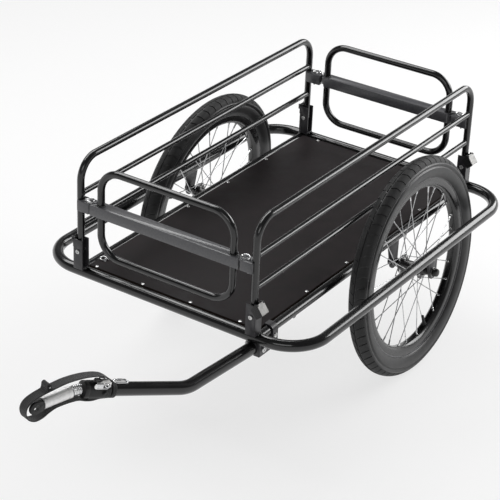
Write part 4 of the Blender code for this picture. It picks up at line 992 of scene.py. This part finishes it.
def thread(start, stop):
    """The profile of a threaded rod between two places."""
    step = math.copysign(THREAD_PITCH, stop - start)
    points = []
    for i in range(round(abs(stop - start) / THREAD_PITCH)):
        x = start + (i + 0.25) * step
        points += [(x, AXLE_RADIUS), (x + step / 2, AXLE_RADIUS - THREAD_DEPTH)]
    return points


def shifted(points, x):
    """A profile in millimetres that starts at a place along its axis."""
    return [(x + u, r) for u, r in mm(*points)]


outside = PLATE_OFFSET + PLATE_THICKNESS / 2 + CLOSE
inside = PLATE_OFFSET - PLATE_THICKNESS / 2 - CLOSE
WASHER = shifted([(0, 11.2), (1.2, 11.2), (1.4, 10.6)], outside)
DOME = shifted([(5, 9.2), (10, 9), (12.2, 7.8), (13.4, 5.2), (13.8, 1.8)], outside)
COLLAR = mm((45, 6), (45.2, 8.3), (45.6, 8.5)) + [(inside - 0.0005, 0.0085), (inside, 0.0080)]
for side, sign in SIDES.items():
    axle = wheel_matrix(sign)
    rod = mm((-62, 3), (-61.6, 4.2)) + thread(-THREAD_END, -outside) + mm((-46, 5), (46, 5))
    rod += thread(outside, THREAD_END) + mm((61.6, 4.2), (62, 3))
    work = bmesh.new()
    turn_profile(work, rod, 20, axle)
    for way in (-1, 1):
        for profile, steps in ((COLLAR, 24), (WASHER, 28)):
            turn_profile(work, [(way * x, r) for x, r in profile], steps, axle)
    piece(side + "_axle_rod", work, ZINC, "frame", [side + "_axle"])
    work = bmesh.new()
    hex_nut(work, axle, -(outside + 0.008), -(outside + 0.0014), 0.0095)
    hex_nut(work, axle, outside + 0.0014, outside + 0.0062, 0.0108)
    turn_profile(work, DOME, 28, axle)
    piece(side + "_axle_nuts", work, NUT_BLACK, "frame")
print("two axles")

# %% Tyre valves
VALVE_TURN, VALVE_FOOT_RADIUS = {"left": 199, "right": 70}, 0.1850
VALVE_STEM = mm((0, 5.2), (2, 5), (3.2, 4), (18, 3.6), (18.4, 3))
VALVE_CAP = mm((18.4, 3), (18.8, 3.4), (27, 3.4), (27.8, 2.6))
for side, sign in SIDES.items():
    body = side + "_wheel"
    foot = turned_about(wheel_matrix(sign), VALVE_TURN[side], "X")
    foot = turned_about(foot @ Matrix.Translation((0, 0, VALVE_FOOT_RADIUS)), 90, "Y")
    turned(side + "_valve_stem", VALVE_STEM, 16, TREAD_RUBBER, body, foot, slot="tyre_rubber")
    turned(side + "_valve_cap", VALVE_CAP, 16, CAST_BLACK, body, foot, slot="tyre_rubber")
print("two valves")

# %% [markdown]
# ## Corner fittings
# At each corner a rivet carries the hoop's foot in its bracket. On the left a spring latch leans out
# over the bracket: two black ribbed cheeks on a pin, joined by a sand-blasted metal face. On the right
# it lies flat on the bracket. In the knuckle above it a headed pin holds the gate, and a wire ring
# for the finger lies on the knuckle.

# %% Rivets
RIVET_HEAD = mm((0, 4.8), (0.6, 5.1), (1.7, 4.7), (2.3, 3.7), (2, 2.2), (0.4, 1.8))

for side, sign, end in CORNERS:
    work = bmesh.new()
    place = aim((sign * PANEL_X, POST_Y[end], HINGE_Z), (0, 1, 0))
    face = BRACKET_HALF_DEPTH + CLOSE
    turn_profile(work, [(-face, 0.004), (face, 0.004)], 20, place)
    for way in (-1, 1):
        turn_profile(work, [(way * (face + x), r) for x, r in RIVET_HEAD], 24, place)
    name = "%s_%s_hinge_rivet" % (end, side)
    piece(name + "_headed", work, ZINC, "frame", [name])
print("four rivets")

# %% Spring latches
LATCH_X, LATCH_Z, LATCH_TILT = 0.2337, 0.3885, 35
CHEEK_INNER, CHEEK_SHEET, RIB_COUNT = 0.0117, 0.0009, 6
CHEEK = mm((4.2, 3.4), (4.2, -21.8), (-13.5, -24.8), (-16, -3), (-4, 4))
LATCH_FACE = mm(
    (2.8, 3), (4, 3), (4.6, 2.4), (4.6, -21.4), (4, -22.2), (-2, -23.2), (-2, -21.8), (2.8, -20.8),
)
LATCH_PLATE = mm((0.6, 5), (1.9, 4.4), (1.9, -20), (0.6, -20.6))


def latch_ribs(work, place, outline, first, pitch, half_width):
    """A row of ribs down a latch, with the outline of one in millimetres."""
    for i in range(RIB_COUNT):
        low = first - i * pitch
        slab(work, place, [(u, low + v) for u, v in mm(*outline)], half_width)


def latch_pin(work, place, half_length):
    """The pin that a latch turns on."""
    ends = [(-half_length, 0.0018), (half_length, 0.0018)]
    turn_profile(work, ends, 14, turned_about(place, 90, "Z"))


def latch_cheeks(place):
    """The two black cheeks beside the bracket, each with moulded ribs, and the pin through them."""
    work = bmesh.new()
    for way in (-1, 1):
        cheek = place @ Matrix.Translation((0, way * (CHEEK_INNER + CHEEK_SHEET / 2), 0))
        slab(work, cheek, CHEEK, CHEEK_SHEET / 2)
        ridge = cheek @ Matrix.Translation((0, way * CHEEK_SHEET / 2, 0))
        rib = [(2.2, 0), (2.2, -1.6), (-11.8, -2.6), (-11.8, -1)]
        latch_ribs(work, ridge, rib, -0.0035, 0.0036, 0.0004)
    latch_pin(work, place, 0.0128)
    return work


def latch_face(place):
    """The metal face: a plate over both cheeks, whose foot folds under them."""
    work = bmesh.new()
    slab(work, place, LATCH_FACE, CHEEK_INNER + 0.0002)
    long_edges = [e for e in work.edges if e.calc_length() > 0.012]
    bmesh.ops.bevel(work, geom=long_edges, offset=0.0004, segments=2, affect="EDGES")
    return work


def latch_flat(place):
    """The lever of the right side, which lies flat on its bracket: a plate with raised ribs."""
    work = bmesh.new()
    slab(work, place, LATCH_PLATE, 0.0100)
    latch_ribs(work, place, [(1.7, 0), (2.3, 0), (2.3, -1.2), (1.7, -1.2)], -0.0040, 0.0025, 0.0085)
    latch_pin(work, place, 0.0096)
    return work


for side, sign, end in CORNERS:
    body = "%s_%s_latch" % (end, side)
    name = body + "_lever"
    pivot = Matrix.Translation((sign * LATCH_X, POST_Y[end], LATCH_Z))
    if side == "right":
        flat = latch_flat(turned_about(pivot, 180, "Z"))
        piece(name + "_flat", flat, CAST_BLACK, body, [name])
        continue
    leaning = turned_about(pivot, -LATCH_TILT, "Y")
    piece(name + "_cheeks", latch_cheeks(leaning), CAST_BLACK, body, [name])
    piece(name + "_face", latch_face(leaning), LATCH_GREY, body)
print("four latches")

# %% Gate pins with their rings
PIN_SEAT = BAR_Z + BAR_HEIGHT / 2 + CLOSE
PIN_FOOT = 0.450 - PIN_SEAT
PIN_PROFILE = [(PIN_FOOT, 0.0008), (PIN_FOOT + 0.0012, 0.0022)] + mm(
    (0.2, 2.2), (0.2, 5), (1, 5.4), (2, 5), (2.4, 3.4), (1.2, 2.6), (1.2, 0.4)
)
KNUCKLE_WASHER = mm((0, 3), (0, 6.2), (-1, 6.4), (-1.4, 5.8), (-3, 4.6), (-3.4, 3))


def torus_ring(work, centre, radius, wire, normal):
    """A wire ring about a centre."""
    matrix = aim(centre, normal)
    path = [matrix @ Vector((0, u, v)) for u, v in circle(radius, 36)]
    sweep(work, path, circle(wire, 10), closed=True)


for side, sign, end in CORNERS:
    y = POST_Y[end]
    work = bmesh.new()
    turn_profile(work, PIN_PROFILE, 24, aim((sign * PIN_X, y, PIN_SEAT), Z_AXIS))
    ring_centre = (sign * (PIN_X - 0.0078), y, PIN_SEAT + 0.0030)
    torus_ring(work, ring_centre, 0.0082, 0.0012, (sign * 0.05, 0, 1))
    name = "%s_%s_gate_pin" % (end, side)
    piece(name + "_ringed", work, CHROME, "%s_%s_lock_pin" % (end, side), [name])
    name = "%s_%s_knuckle_washer" % (end, side)
    place = aim((sign * PIN_X, y, BAR_Z - BAR_HEIGHT / 2), Z_AXIS)
    turned(name, KNUCKLE_WASHER, 24, ZINC, side + "_panel", place, slot="zinc_steel", closed=True)
print("four gate pins and their washers")

# %% [markdown]
# ## Tow arm and hitch lines
# The arm is a bent tube that rises from its receiver at the left front corner to the hitch socket.
# Its front stretch and the hitch before it each have a straight line, and all the hitch pieces are
# placed by their distance along one of the two.

# %% Tow arm
ARM_START, ARM_BEND = Vector((0.220, FRONT_Y + 0.055, 0.2775)), Vector((0.2010, FRONT_Y - 0.2020, 0.2790))
SOCKET_FRONT = Vector((0.1066, FRONT_Y - 0.410, 0.345))
ARM_RUN = (SOCKET_FRONT - ARM_BEND).normalized()
ARM_SIDE = ARM_RUN.cross(Z_AXIS).normalized()
ARM_UP = ARM_SIDE.cross(ARM_RUN)
ARM_RADIUS = 0.014
HITCH_START = Vector((0.115, FRONT_Y - 0.378, 0.350))
HITCH_RUN = Vector((-0.254, -0.967, 0)).normalized()
HITCH_SIDE = HITCH_RUN.cross(Z_AXIS).normalized()
SLEEVE_START, SLEEVE_RADIUS = 0.060, 0.012


def arm_place(distance):
    """A point on the arm's line, at a distance behind the socket's front."""
    return SOCKET_FRONT - ARM_RUN * distance


def hitch_place(distance, height=0.0):
    """A point over the hitch's line, at a distance from its start."""
    return HITCH_START + HITCH_RUN * distance + Z_AXIS * height


def beside(place, run=0.0, side=0.0, up=0.0):
    """A point near a place, in the directions of the arm and in millimetres."""
    return place + ARM_RUN * (run / 1000) + ARM_SIDE * (side / 1000) + ARM_UP * (up / 1000)


path = rounded_path([ARM_START, ARM_BEND, arm_place(0.028)], 0.090, 20)
tube("tow_arm_bent", path, ARM_RADIUS, "frame", "tow_arm")
print("tow arm:", length_mm(path), "mm long")

# %% Arm receiver and its hanger
HANGER_Y, HANGER_HALF_WIDTH, HANGER_FOOT = FRONT_Y + 0.048, 0.009, -0.0385
HANGER_PLATE = (0.2373, HANGER_Y, 0.2777)
RECEIVER_LOW = Vector((0.2042, FRONT_Y - 0.001, 0.2617))
RECEIVER_HIGH = Vector((0.2364, FRONT_Y + 0.058, 0.2937))
hold, outer = RAIL_RADIUS + CLOSE, RAIL_RADIUS + 0.0033


def quarter(radius):
    """A quarter circle over the rail."""
    return [(radius * math.cos(t), radius * math.sin(t)) for t in [math.radians(7.5 * i) for i in range(13)]]


work = bmesh.new()
size = RECEIVER_HIGH - RECEIVER_LOW
middle = Matrix.Translation((RECEIVER_LOW + RECEIVER_HIGH) / 2)
bmesh.ops.create_cube(work, size=1.0, matrix=middle @ Matrix.Diagonal((*size, 1)))
bmesh.ops.bevel(work, geom=work.edges[:], offset=0.0016, segments=3, affect="EDGES")
strip = [(hold, HANGER_FOOT), (outer, HANGER_FOOT), *quarter(outer)]
strip += [(-0.0095, outer), (-0.0095, hold), *quarter(hold)[::-1]]
slab(work, Matrix.Translation((RAIL_X, HANGER_Y, FRAME_Z)), strip, HANGER_HALF_WIDTH)
plate = mm((-1.4, -9), (1.4, -9), (1.4, 12), (-1.4, 12))
slab(work, Matrix.Translation(HANGER_PLATE), plate, HANGER_HALF_WIDTH)
piece("tow_arm_receiver_welded", work, SATIN_BLACK, "frame", ["tow_arm_receiver"])
place = aim((RAIL_X + outer, HANGER_Y, 0.2960), (1, 0, 0))
turned("receiver_rivet", RIVET_HEAD, 24, ZINC, "frame", place, slot="zinc_steel")
print("receiver:", [round(v * 1000) for v in size], "mm")

# %% Receiver bolt
def slotted_head(work, place, radius, height):
    """A round screw head along X. Its slot is not cut: a thin black bar just over the head's top is painted
    shade that stands for the slot.
    """
    shares = ((0, 0.92), (0.2, 1), (0.7, 1), (1, 0.8))
    turn_profile(work, [(height * x, radius * r) for x, r in shares], 28, place)
    # Painted shade: a black bar, just proud of the head, where the shade of the slot falls.
    slot = [(u * radius * 0.72, v * 0.0006) for u, v in ((-1, -1), (1, -1), (1, 1), (-1, 1))]
    depths = (height * 0.5, height + 0.0002)
    for face in skin(work, [[work.verts.new(place @ Vector((x, u, v))) for u, v in slot] for x in depths]):
        face.material_index = 1


work = bmesh.new()
place = aim(ARM_START + Vector((0, -0.043, 0)), (1, 0, 0))
turn_profile(work, mm((-26.5, 3), (-26, 4), (19, 4)), 20, place)
slotted_head(work, turned_about(place @ Matrix.Translation((0.0166, 0, 0)), 35, "X"), 0.0068, 0.0042)
hex_nut(work, place, -0.0245, -0.0185, 0.0075)
bolt = piece("receiver_bolt_slotted", work, ZINC, "frame", ["receiver_bolt"])
bolt.data.materials.append(NUT_BLACK)
print("receiver bolt")

# %% [markdown]
# ## Hitch: pin, spring and sleeve
# A pull pin locks the arm in its socket, and its wire bail lies over the socket. The spring lets the
# hitch swing while the trailer is towed: it is one unbroken wire wound round the bend between socket
# and sleeve, so its path follows a smooth curve between the two.

# %% Socket boot
PIN_CENTRE = arm_place(0.042)
# Millimetres behind the socket's front, and the boot's size there.
BOOT = (
    (56.5, 0.94), (56, 0.97), (50, 0.98), (49, 0.95), (46, 0.95), (45, 0.99), (12, 1.0), (11, 0.97),
    (8.5, 0.97), (7.5, 1.0), (2, 0.99), (0.4, 0.95), (0, 0.91),
)


def rounded_box(half_width, half_height, corner):
    """A rectangle with round corners, as a closed list of points."""
    points = []
    for turn, (u, v) in enumerate(((1, 1), (-1, 1), (-1, -1), (1, -1))):
        for t in [math.radians(90 * turn + 15 * i) for i in range(7)]:
            across = u * (half_width - corner) + corner * math.cos(t)
            points.append((across, v * (half_height - corner) + corner * math.sin(t)))
    return points


work = bmesh.new()
section = rounded_box(0.0170, 0.0155, 0.0115)
sweep(work, [arm_place(d / 1000) for d, _ in BOOT], section, side=ARM_SIDE, scales=[s for _, s in BOOT])
place = Matrix((ARM_RUN, ARM_SIDE, ARM_UP)).transposed().to_4x4()
place.translation = beside(PIN_CENTRE, run=21, up=-15)
lug = bmesh.ops.create_cube(work, size=1.0, matrix=place @ Matrix.Diagonal((0.026, 0.022, 0.010, 1)))
edges = {e for v in lug["verts"] for e in v.link_edges}
bmesh.ops.bevel(work, geom=list(edges), offset=0.0040, segments=4, affect="EDGES")
piece("hitch_socket_boot", work, CAST_BLACK, "frame", ["hitch_socket"])
work = bmesh.new()
hex_nut(work, aim(beside(PIN_CENTRE, run=1), -ARM_UP), 0.0150, 0.0190, 0.0058)
piece("socket_nut", work, ZINC, "frame")
print("socket boot")

# %% Pull pin and bail
ROD = mm((-22, 1.6), (-21.2, 2.7), (-19.5, 3), (17, 3))
KNOB = mm(
    (17.3, 5), (17.8, 5.4), (18.6, 5.4), (19.2, 4.2), (20.2, 4.2), (20.9, 5.2), (21.9, 5.2), (22.3, 4.4),
    (21.7, 2.6),
)
CLIP_HALF = mm((8.5, 0), (8.5, 5), (7, 6.2))
CLIP_INNER_HALF = mm((7.2, 0), (7.2, 4.4), (6.2, 5))

work = bmesh.new()
pin_axis = aim(PIN_CENTRE, -ARM_SIDE)
turn_profile(work, ROD, 20, pin_axis)
turn_profile(work, KNOB, 24, pin_axis)
piece("hitch_pin_turned", work, NUT_BLACK, "pull_pin", ["hitch_pin"])

work = bmesh.new()
flat = [beside(PIN_CENTRE, side=across, up=up) for across, up in ((-19.3, 14), (-19.3, 19.2), (10, 19.2))]
corners = [beside(p, run=5.5) for p in flat] + [beside(p, run=-5.5) for p in flat[::-1]]
sweep(work, rounded_path(corners, 0.004, 8, closed=True), circle(0.0013, 12), closed=True)
ring_centre = beside(PIN_CENTRE, run=12.5, side=-19, up=15.5)
stadium = [
    beside(ring_centre, run=10.5 * way + 4.5 * math.cos(math.radians(t)), up=4.5 * math.sin(math.radians(t)))
    for way, first in ((1, -90), (-1, 90)) for t in range(first, first + 181, 20)
]
sweep(work, stadium, circle(0.0014, 12), closed=True)
tongue = [beside(ring_centre, run=run, side=-0.2) for run in (14.5, -3)]
sweep(work, tongue, mm((-3.6, -0.7), (3.6, -0.7), (3.6, 0.7), (-3.6, 0.7)), side=ARM_UP)
piece("hitch_pin_bailed", work, CHROME, "pull_pin")

base = beside(PIN_CENTRE, side=-7, up=15.8)
fold = [(-u, v) for u, v in CLIP_HALF] + CLIP_HALF[::-1]
fold += CLIP_INNER_HALF + [(-u, v) for u, v in CLIP_INNER_HALF[::-1]]
path = [beside(base, run=run) for run in (-9.5, 21.5)]
swept("hitch_pin_clip", path, fold, CLIP_GREY, "pull_pin", slot="zinc_steel", side=-ARM_SIDE)
loop = beside(base, run=16.5, up=7.6)
path = [beside(loop, run=6.8 * c, side=-7.2 * s) for c, s in circle(1, 24)]
swept("hitch_pin_loop", path, circle(0.0011, 10), NUT_BLACK, "pull_pin", slot="zinc_steel", closed=True)
print("pull pin, bail and clip")

# %% Spring
SPRING_RADIUS, SPRING_WIRE, SPRING_TURNS, TURN_STEPS = 0.0095, 0.0014, 5, 24


def spring_axis(share):
    """A point and the direction on the bent line from the socket's front to the sleeve's rear."""
    start, end = SOCKET_FRONT, hitch_place(SLEEVE_START)
    third = (end - start).length / 3
    a, b, t = start + ARM_RUN * third, end - HITCH_RUN * third, share
    place = start * (1 - t) ** 3 + a * 3 * t * (1 - t) ** 2 + b * 3 * t**2 * (1 - t) + end * t**3
    run = (a - start) * (1 - t) ** 2 + (b - a) * 2 * t * (1 - t) + (end - b) * t**2
    return place, run.normalized()


def spring_path():
    """The wire's middle line, with both its ends brought to the faces that it leans on."""
    length = (hitch_place(SLEEVE_START) - SOCKET_FRONT).length
    margin = (2.5 * SPRING_WIRE + CLOSE) / length
    count = SPRING_TURNS * TURN_STEPS
    route = []
    for i in range(count + 1):
        place, run = spring_axis(margin + (1 - 2 * margin) * i / count)
        across = run.cross(Z_AXIS).normalized()
        turn = 2 * math.pi * i / TURN_STEPS
        out = across.cross(run) * math.cos(turn) + across * math.sin(turn)
        route.append(place + out * SPRING_RADIUS)
    first = SOCKET_FRONT + ARM_RUN * CLOSE + ARM_UP * SPRING_RADIUS
    return [first, *route, hitch_place(SLEEVE_START - CLOSE, SPRING_RADIUS)]


def follow_hitch(obj):
    """Bakes a piece's placement into its mesh."""
    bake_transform(obj)


wire = circle(SPRING_WIRE, 12)
spring = swept("hitch_spring_wound", spring_path(), wire, CHROME, None, ["hitch_spring"], "zinc_steel")
follow_hitch(spring)
print("spring faces:", len(spring.data.polygons))

# %% Sleeve, set screws and eye bushing
SLEEVE = mm(
    (60, 10.8), (60.4, 12.1), (67.6, 12.1), (68.2, 11.2), (70, 11.2), (70.6, 11.9), (92.5, 11.9),
    (92.8, 11.6), (93.6, 11.6), (93.9, 11.9), (117.6, 11.9), (118.2, 11.2), (119.8, 11.2), (120.4, 12),
    (123.4, 12), (124, 11),
)
SET_SCREW = mm((4.5, 2.2), (6.8, 2.2), (7.2, 1.6))
BUSHING = mm((0, 5.2), (0, 7.8), (0.4, 8.2), (6.8, 8.2), (7.2, 7.8), (7.2, 5.2))
place = aim(HITCH_START, HITCH_RUN)
turned("coupler_sleeve_turned", SLEEVE, 48, SLEEVE_ALLOY, "coupler", place, ["coupler_sleeve"], "zinc_steel")
work = bmesh.new()
for distance in (0.083, 0.105):
    base = aim(hitch_place(distance, -SLEEVE_RADIUS + 0.001), (0, 0, -1))
    hex_nut(work, base, 0, 0.0045, 0.0045)
    turn_profile(work, SET_SCREW, 16, base)
piece("coupler_screws", work, ZINC, "coupler")
place = aim(hitch_place(0.1435) - HITCH_SIDE * 0.0106, HITCH_SIDE)
turned("eye_bushing", BUSHING, 32, NUT_BLACK, "coupler", place, slot="zinc_steel", closed=True)
print("sleeve and its screws")

# %% Snap hook
HOOK_DISTANCE, HOOK_WIRE, HOOK_REACH_MM, HOOK_BEND_MM = 0.0805, 0.0019, 15.8, 5.8
straight = HOOK_REACH_MM - HOOK_BEND_MM
centre = beside(arm_place(HOOK_DISTANCE), up=ARM_RADIUS * 1000 + 2.5)
link = []
for middle, first in ((straight, -90), (-straight, 90)):
    for t in [math.radians(first + 15 * i) for i in range(13)]:
        along, across = middle + HOOK_BEND_MM * math.cos(t), HOOK_BEND_MM * math.sin(t)
        link.append(beside(centre, run=along, side=across))
work = bmesh.new()
sweep(work, link, circle(HOOK_WIRE, 14), closed=True)
gate = aim(beside(centre, side=HOOK_BEND_MM), ARM_RUN)
turn_profile(work, mm((-5.2, 2.1), (-4.8, 2.4), (4.8, 2.4), (5.2, 2.1)), 18, gate)
piece("snap_hook_link", work, CHROME, "frame", ["snap_hook"])
print("snap hook")

# %% [markdown]
# ## Safety strap
# A flat nylon strap runs over the spring and loops round the bracket, so that the trailer stays tied
# if the spring breaks. Flat webbing keeps its width and its thickness along the way, so it is a thin
# section carried along a smooth route. Its UV map runs along and across it, for the weave.

# %% Webbing
STRAP_HALF_WIDTH, STRAP_THICKNESS = 0.0112, 0.0024
# Distance along the hitch's line and height over it.
STRAP_ROUTE = mm(
    (-31, -7.2), (-25.5, -1), (-17.5, 6), (-10, 11), (8, 18.5), (37, 25.5), (72, 29), (105, 27), (135, 23.5),
    (157, 16), (166, 2.5), (162, -15.5), (147, -25.5), (130, -24.5), (115, -18.5), (100, -14.5), (86, -14.2),
    (68, -15.2), (48, -18.5), (32, -26.2), (16, -31.5), (0, -33.5), (-14, -37.5), (-28, -41.2),
)
WOVEN = {"side": HITCH_SIDE, "uv": "along_and_across", "angle": 50}


def webbing_section(half_width, thickness):
    """A flat band whose woven edges are round and a little thicker."""
    half = thickness / 2
    turns = [math.radians(a) for a in (-90, -45, 0, 45, 90)]
    edge = [(half_width - half + half * math.cos(t), half * math.sin(t)) for t in turns]
    far, near = half_width - 0.0035, half_width - 0.0022
    right = [(far, -half * 0.86), (near, -half), *edge, (near, half), (far, half * 0.86)]
    return right + [(-u, -v) for u, v in right]


route = smooth_route([hitch_place(d, h) for d, h in STRAP_ROUTE], 8)
section = webbing_section(STRAP_HALF_WIDTH, STRAP_THICKNESS)
nodes = ["safety_strap", "strap_loop"]
strap = swept("safety_strap_woven", route, section, WEBBING, None, nodes, "webbing", **WOVEN)
follow_hitch(strap)
print("strap:", length_mm(route), "mm of webbing")

# %% Collar and keeper of the strap
COLLAR_DISTANCE, COLLAR_REACH_MM, COLLAR_ROUND = 0.0635, 16.0, 0.98
KEEPER_ROUTE = mm(
    (101, 28.2), (106, 29), (108.5, 33), (109.5, 39), (113, 41.8), (117, 39.5), (118, 33), (120, 28),
    (124, 26.8),
)
middle = arm_place(COLLAR_DISTANCE)
square = ((1, 1), (-1, 1), (-1, -1), (1, -1))
corners = [beside(middle, side=COLLAR_REACH_MM * u, up=COLLAR_REACH_MM * v) for u, v in square]
path = rounded_path(corners, COLLAR_REACH_MM / 1000 * COLLAR_ROUND, 8, closed=True)
how = {**WOVEN, "side": ARM_RUN, "closed": True}
swept("strap_collar", path, webbing_section(0.0048, 0.0022), WEBBING, "frame", slot="webbing", **how)
path = smooth_route([hitch_place(d, h) for d, h in KEEPER_ROUTE], 6)
swept("strap_keeper", path, webbing_section(0.0100, 0.0018), WEBBING, "coupler", slot="webbing", **WOVEN)
bar, place = mm((-11.2, 1.2), (11.2, 1.2)), aim(hitch_place(0.1132, 0.0352), HITCH_SIDE)
turned("strap_keeper_bar", bar, 14, CHROME, "coupler", place, slot="zinc_steel")
print("collar and keeper")

# %% Stitches
STITCHED, ROW_OFFSET = ((4, 22), (62, 76)), 0.0072


def stitch_lines():
    """Two rows on each stitched stretch of the strap's route, just above the webbing."""
    lines = []
    for first, last in STITCHED:
        for across in (-ROW_OFFSET, ROW_OFFSET):
            points = []
            for place, after in list(zip(route, route[1:]))[first:last]:
                out = (after - place).normalized().cross(HITCH_SIDE)
                points.append(place + out * (STRAP_THICKNESS / 2 + 0.0001) + HITCH_SIDE * across)
            lines.append((points, False))
    return lines


work = bmesh.new()
turn_profile(work, mm((-1, 0.2), (-0.7, 0.42), (0.7, 0.42), (1, 0.2)), 6)
stitch = shape_object("stitch", work)
how = {"Shape": stitch, "Pitch": 0.0031, "Unevenness": 0.05, "Seed": 11, "Finish": THREAD}
rows = dress("strap_stitches", grown(line_mesh(stitch_lines()), ALONG, **how), THREAD, None)
bpy.data.objects.remove(stitch)
follow_hitch(rows)
print("stitches:", len(rows.data.polygons), "faces")

# %% [markdown]
# ## Deck screws and lashing ring
# Countersunk screws hold the deck along its edges, and a steel ring for lashing stands at the front
# right corner. The screws are one shape put on a list of points.

# %% Deck fasteners
SCREW_ROWS = [(x, -0.1562) for x in (-0.200, -0.077, 0.047, 0.172)]
SCREW_ROWS += [(x, 0.681) for x in (-0.172, -0.047, 0.077, 0.200)]
SCREW_ROWS += [(way * 0.2128, y) for way in (-1, 1) for y in (0.032, 0.192, 0.352, 0.512)]
SCREW = mm((-1, 2.4), (0.2, 4), (0.9, 3.6), (1.2, 2), (0.4, 1.4), (0.3, 0.4))
work = bmesh.new()
turn_profile(work, SCREW, 14, aim((0, 0, 0), Z_AXIS))
screw = shape_object("deck_screw", work)
work = bmesh.new()
for x, y in SCREW_ROWS:
    work.verts.new((x, y, DECK_TOP))
screws = grown(mesh_of(work), ON_POINTS, Shape=screw, Seed=5, Finish=ZINC)
bpy.data.objects.remove(screw)
dress("deck_screws", screws, ZINC, "frame")

RING_X, RING_Y, STAPLE_X = -0.2085, -0.1227, -0.2015
STAPLE = mm((-7, 0.6), (-3.5, 0.8), (-2.5, 4), (2.5, 4), (3.5, 0.8), (7, 0.6))
work = bmesh.new()
torus_ring(work, (RING_X, RING_Y, DECK_TOP + 0.0022), 0.0072, 0.0014, (0.12, 0, 1))
path = [(STAPLE_X, RING_Y + along, DECK_TOP + up) for along, up in STAPLE]
sweep(work, path, mm((3, 0.6), (-3, 0.6), (-3, -0.6), (3, -0.6)), side=(1, 0, 0))
piece("lashing_ring", work, ZINC, "frame")
print("deck screws:", len(SCREW_ROWS))

# %% [markdown]
# ## Weld beads
# Where a tube meets another, a bead of weld runs round the joint, under the paint. Each bead is a row
# of small overlapping drops. A node tree sets the drops along the line of the joint, a little uneven,
# as a hand-held torch leaves them.

# %% Weld lines
def saddle(centre, run, radius, carrier, carrier_radius):
    """The closed line where a tube that runs along `run` meets a carrier tube's surface."""
    run, carrier = Vector(run), Vector(carrier)
    other = run.cross(carrier)
    line = []
    for u, v in circle(radius, 48):
        lift = math.sqrt(carrier_radius**2 - v**2)
        line.append(Vector(centre) + carrier * u + other * v + run * (lift + CLOSE))
    return line, True


def bracket_line(sign, y):
    """Round a bracket's foot, over the bumper tube."""
    turns = [math.radians(a) for a in range(60, 116, 5)]
    arc = [(y - BUMPER_RADIUS * math.cos(t), FRAME_Z + BUMPER_RADIUS * math.sin(t)) for t in turns]
    inner, outer = sign * (BRACKET_OUTER_X - BRACKET_WIDTH), sign * BRACKET_OUTER_X
    return [Vector((outer, *p)) for p in arc] + [Vector((inner, *p)) for p in arc[::-1]], True


KNUCKLE_EDGE, KNUCKLE_STEP, WELD_LIFT = 0.0083, 0.0055, 0.0004
welds = {"frame": [], "left_panel": [], "right_panel": [], "front_gate": [], "rear_gate": []}
for side, sign, end in CORNERS:
    post, inwards, panel = POST_Y[end], (0, -ENDS[end], 0), welds[side + "_panel"]
    rail = (sign * RAIL_X, BUMPER_Y[end], FRAME_Z)
    welds["frame"].append(saddle(rail, inwards, RAIL_RADIUS, (1, 0, 0), BUMPER_RADIUS))
    welds["frame"].append(bracket_line(sign, BUMPER_Y[end]))
    for z in MID_RAIL_Z.values():
        panel.append(saddle((sign * PANEL_X, post, z), inwards, MID_RAIL_RADIUS, (0, 0, 1), HOOP_RADIUS))
    for edge in (-1, 1):
        x, y = sign * (PANEL_X + WELD_LIFT), post + edge * KNUCKLE_EDGE
        panel.append(([Vector((x, y, BAR_Z + k * KNUCKLE_STEP)) for k in range(-2, 3)], False))
        z = BAR_Z + edge * (BAR_HEIGHT / 2 + CLOSE)
        ring = [Vector((sign * GATE_X + u, post + v, z)) for u, v in circle(HOOP_RADIUS + WELD_LIFT, 40)]
        welds[end + "_gate"].append((ring, True))
print("weld lines:", {body: len(lines) for body, lines in welds.items()})

# %% Weld drops
work = bmesh.new()
drop_size = Matrix.Diagonal((0.0013, 0.0016, 0.0012, 1))
bmesh.ops.create_icosphere(work, subdivisions=1, radius=1.0, matrix=drop_size)
drop = shape_object("weld_drop", work)
how = {"Shape": drop, "Pitch": 0.0013, "Unevenness": 0.12, "Seed": 23, "Finish": GLOSS_BLACK}
for body, lines in welds.items():
    beads = grown(line_mesh(lines), ALONG, **how)
    dress(body + "_welds", beads, GLOSS_BLACK, body, angle=80)
    print(body, "weld faces:", len(beads.polygons))
bpy.data.objects.remove(drop)
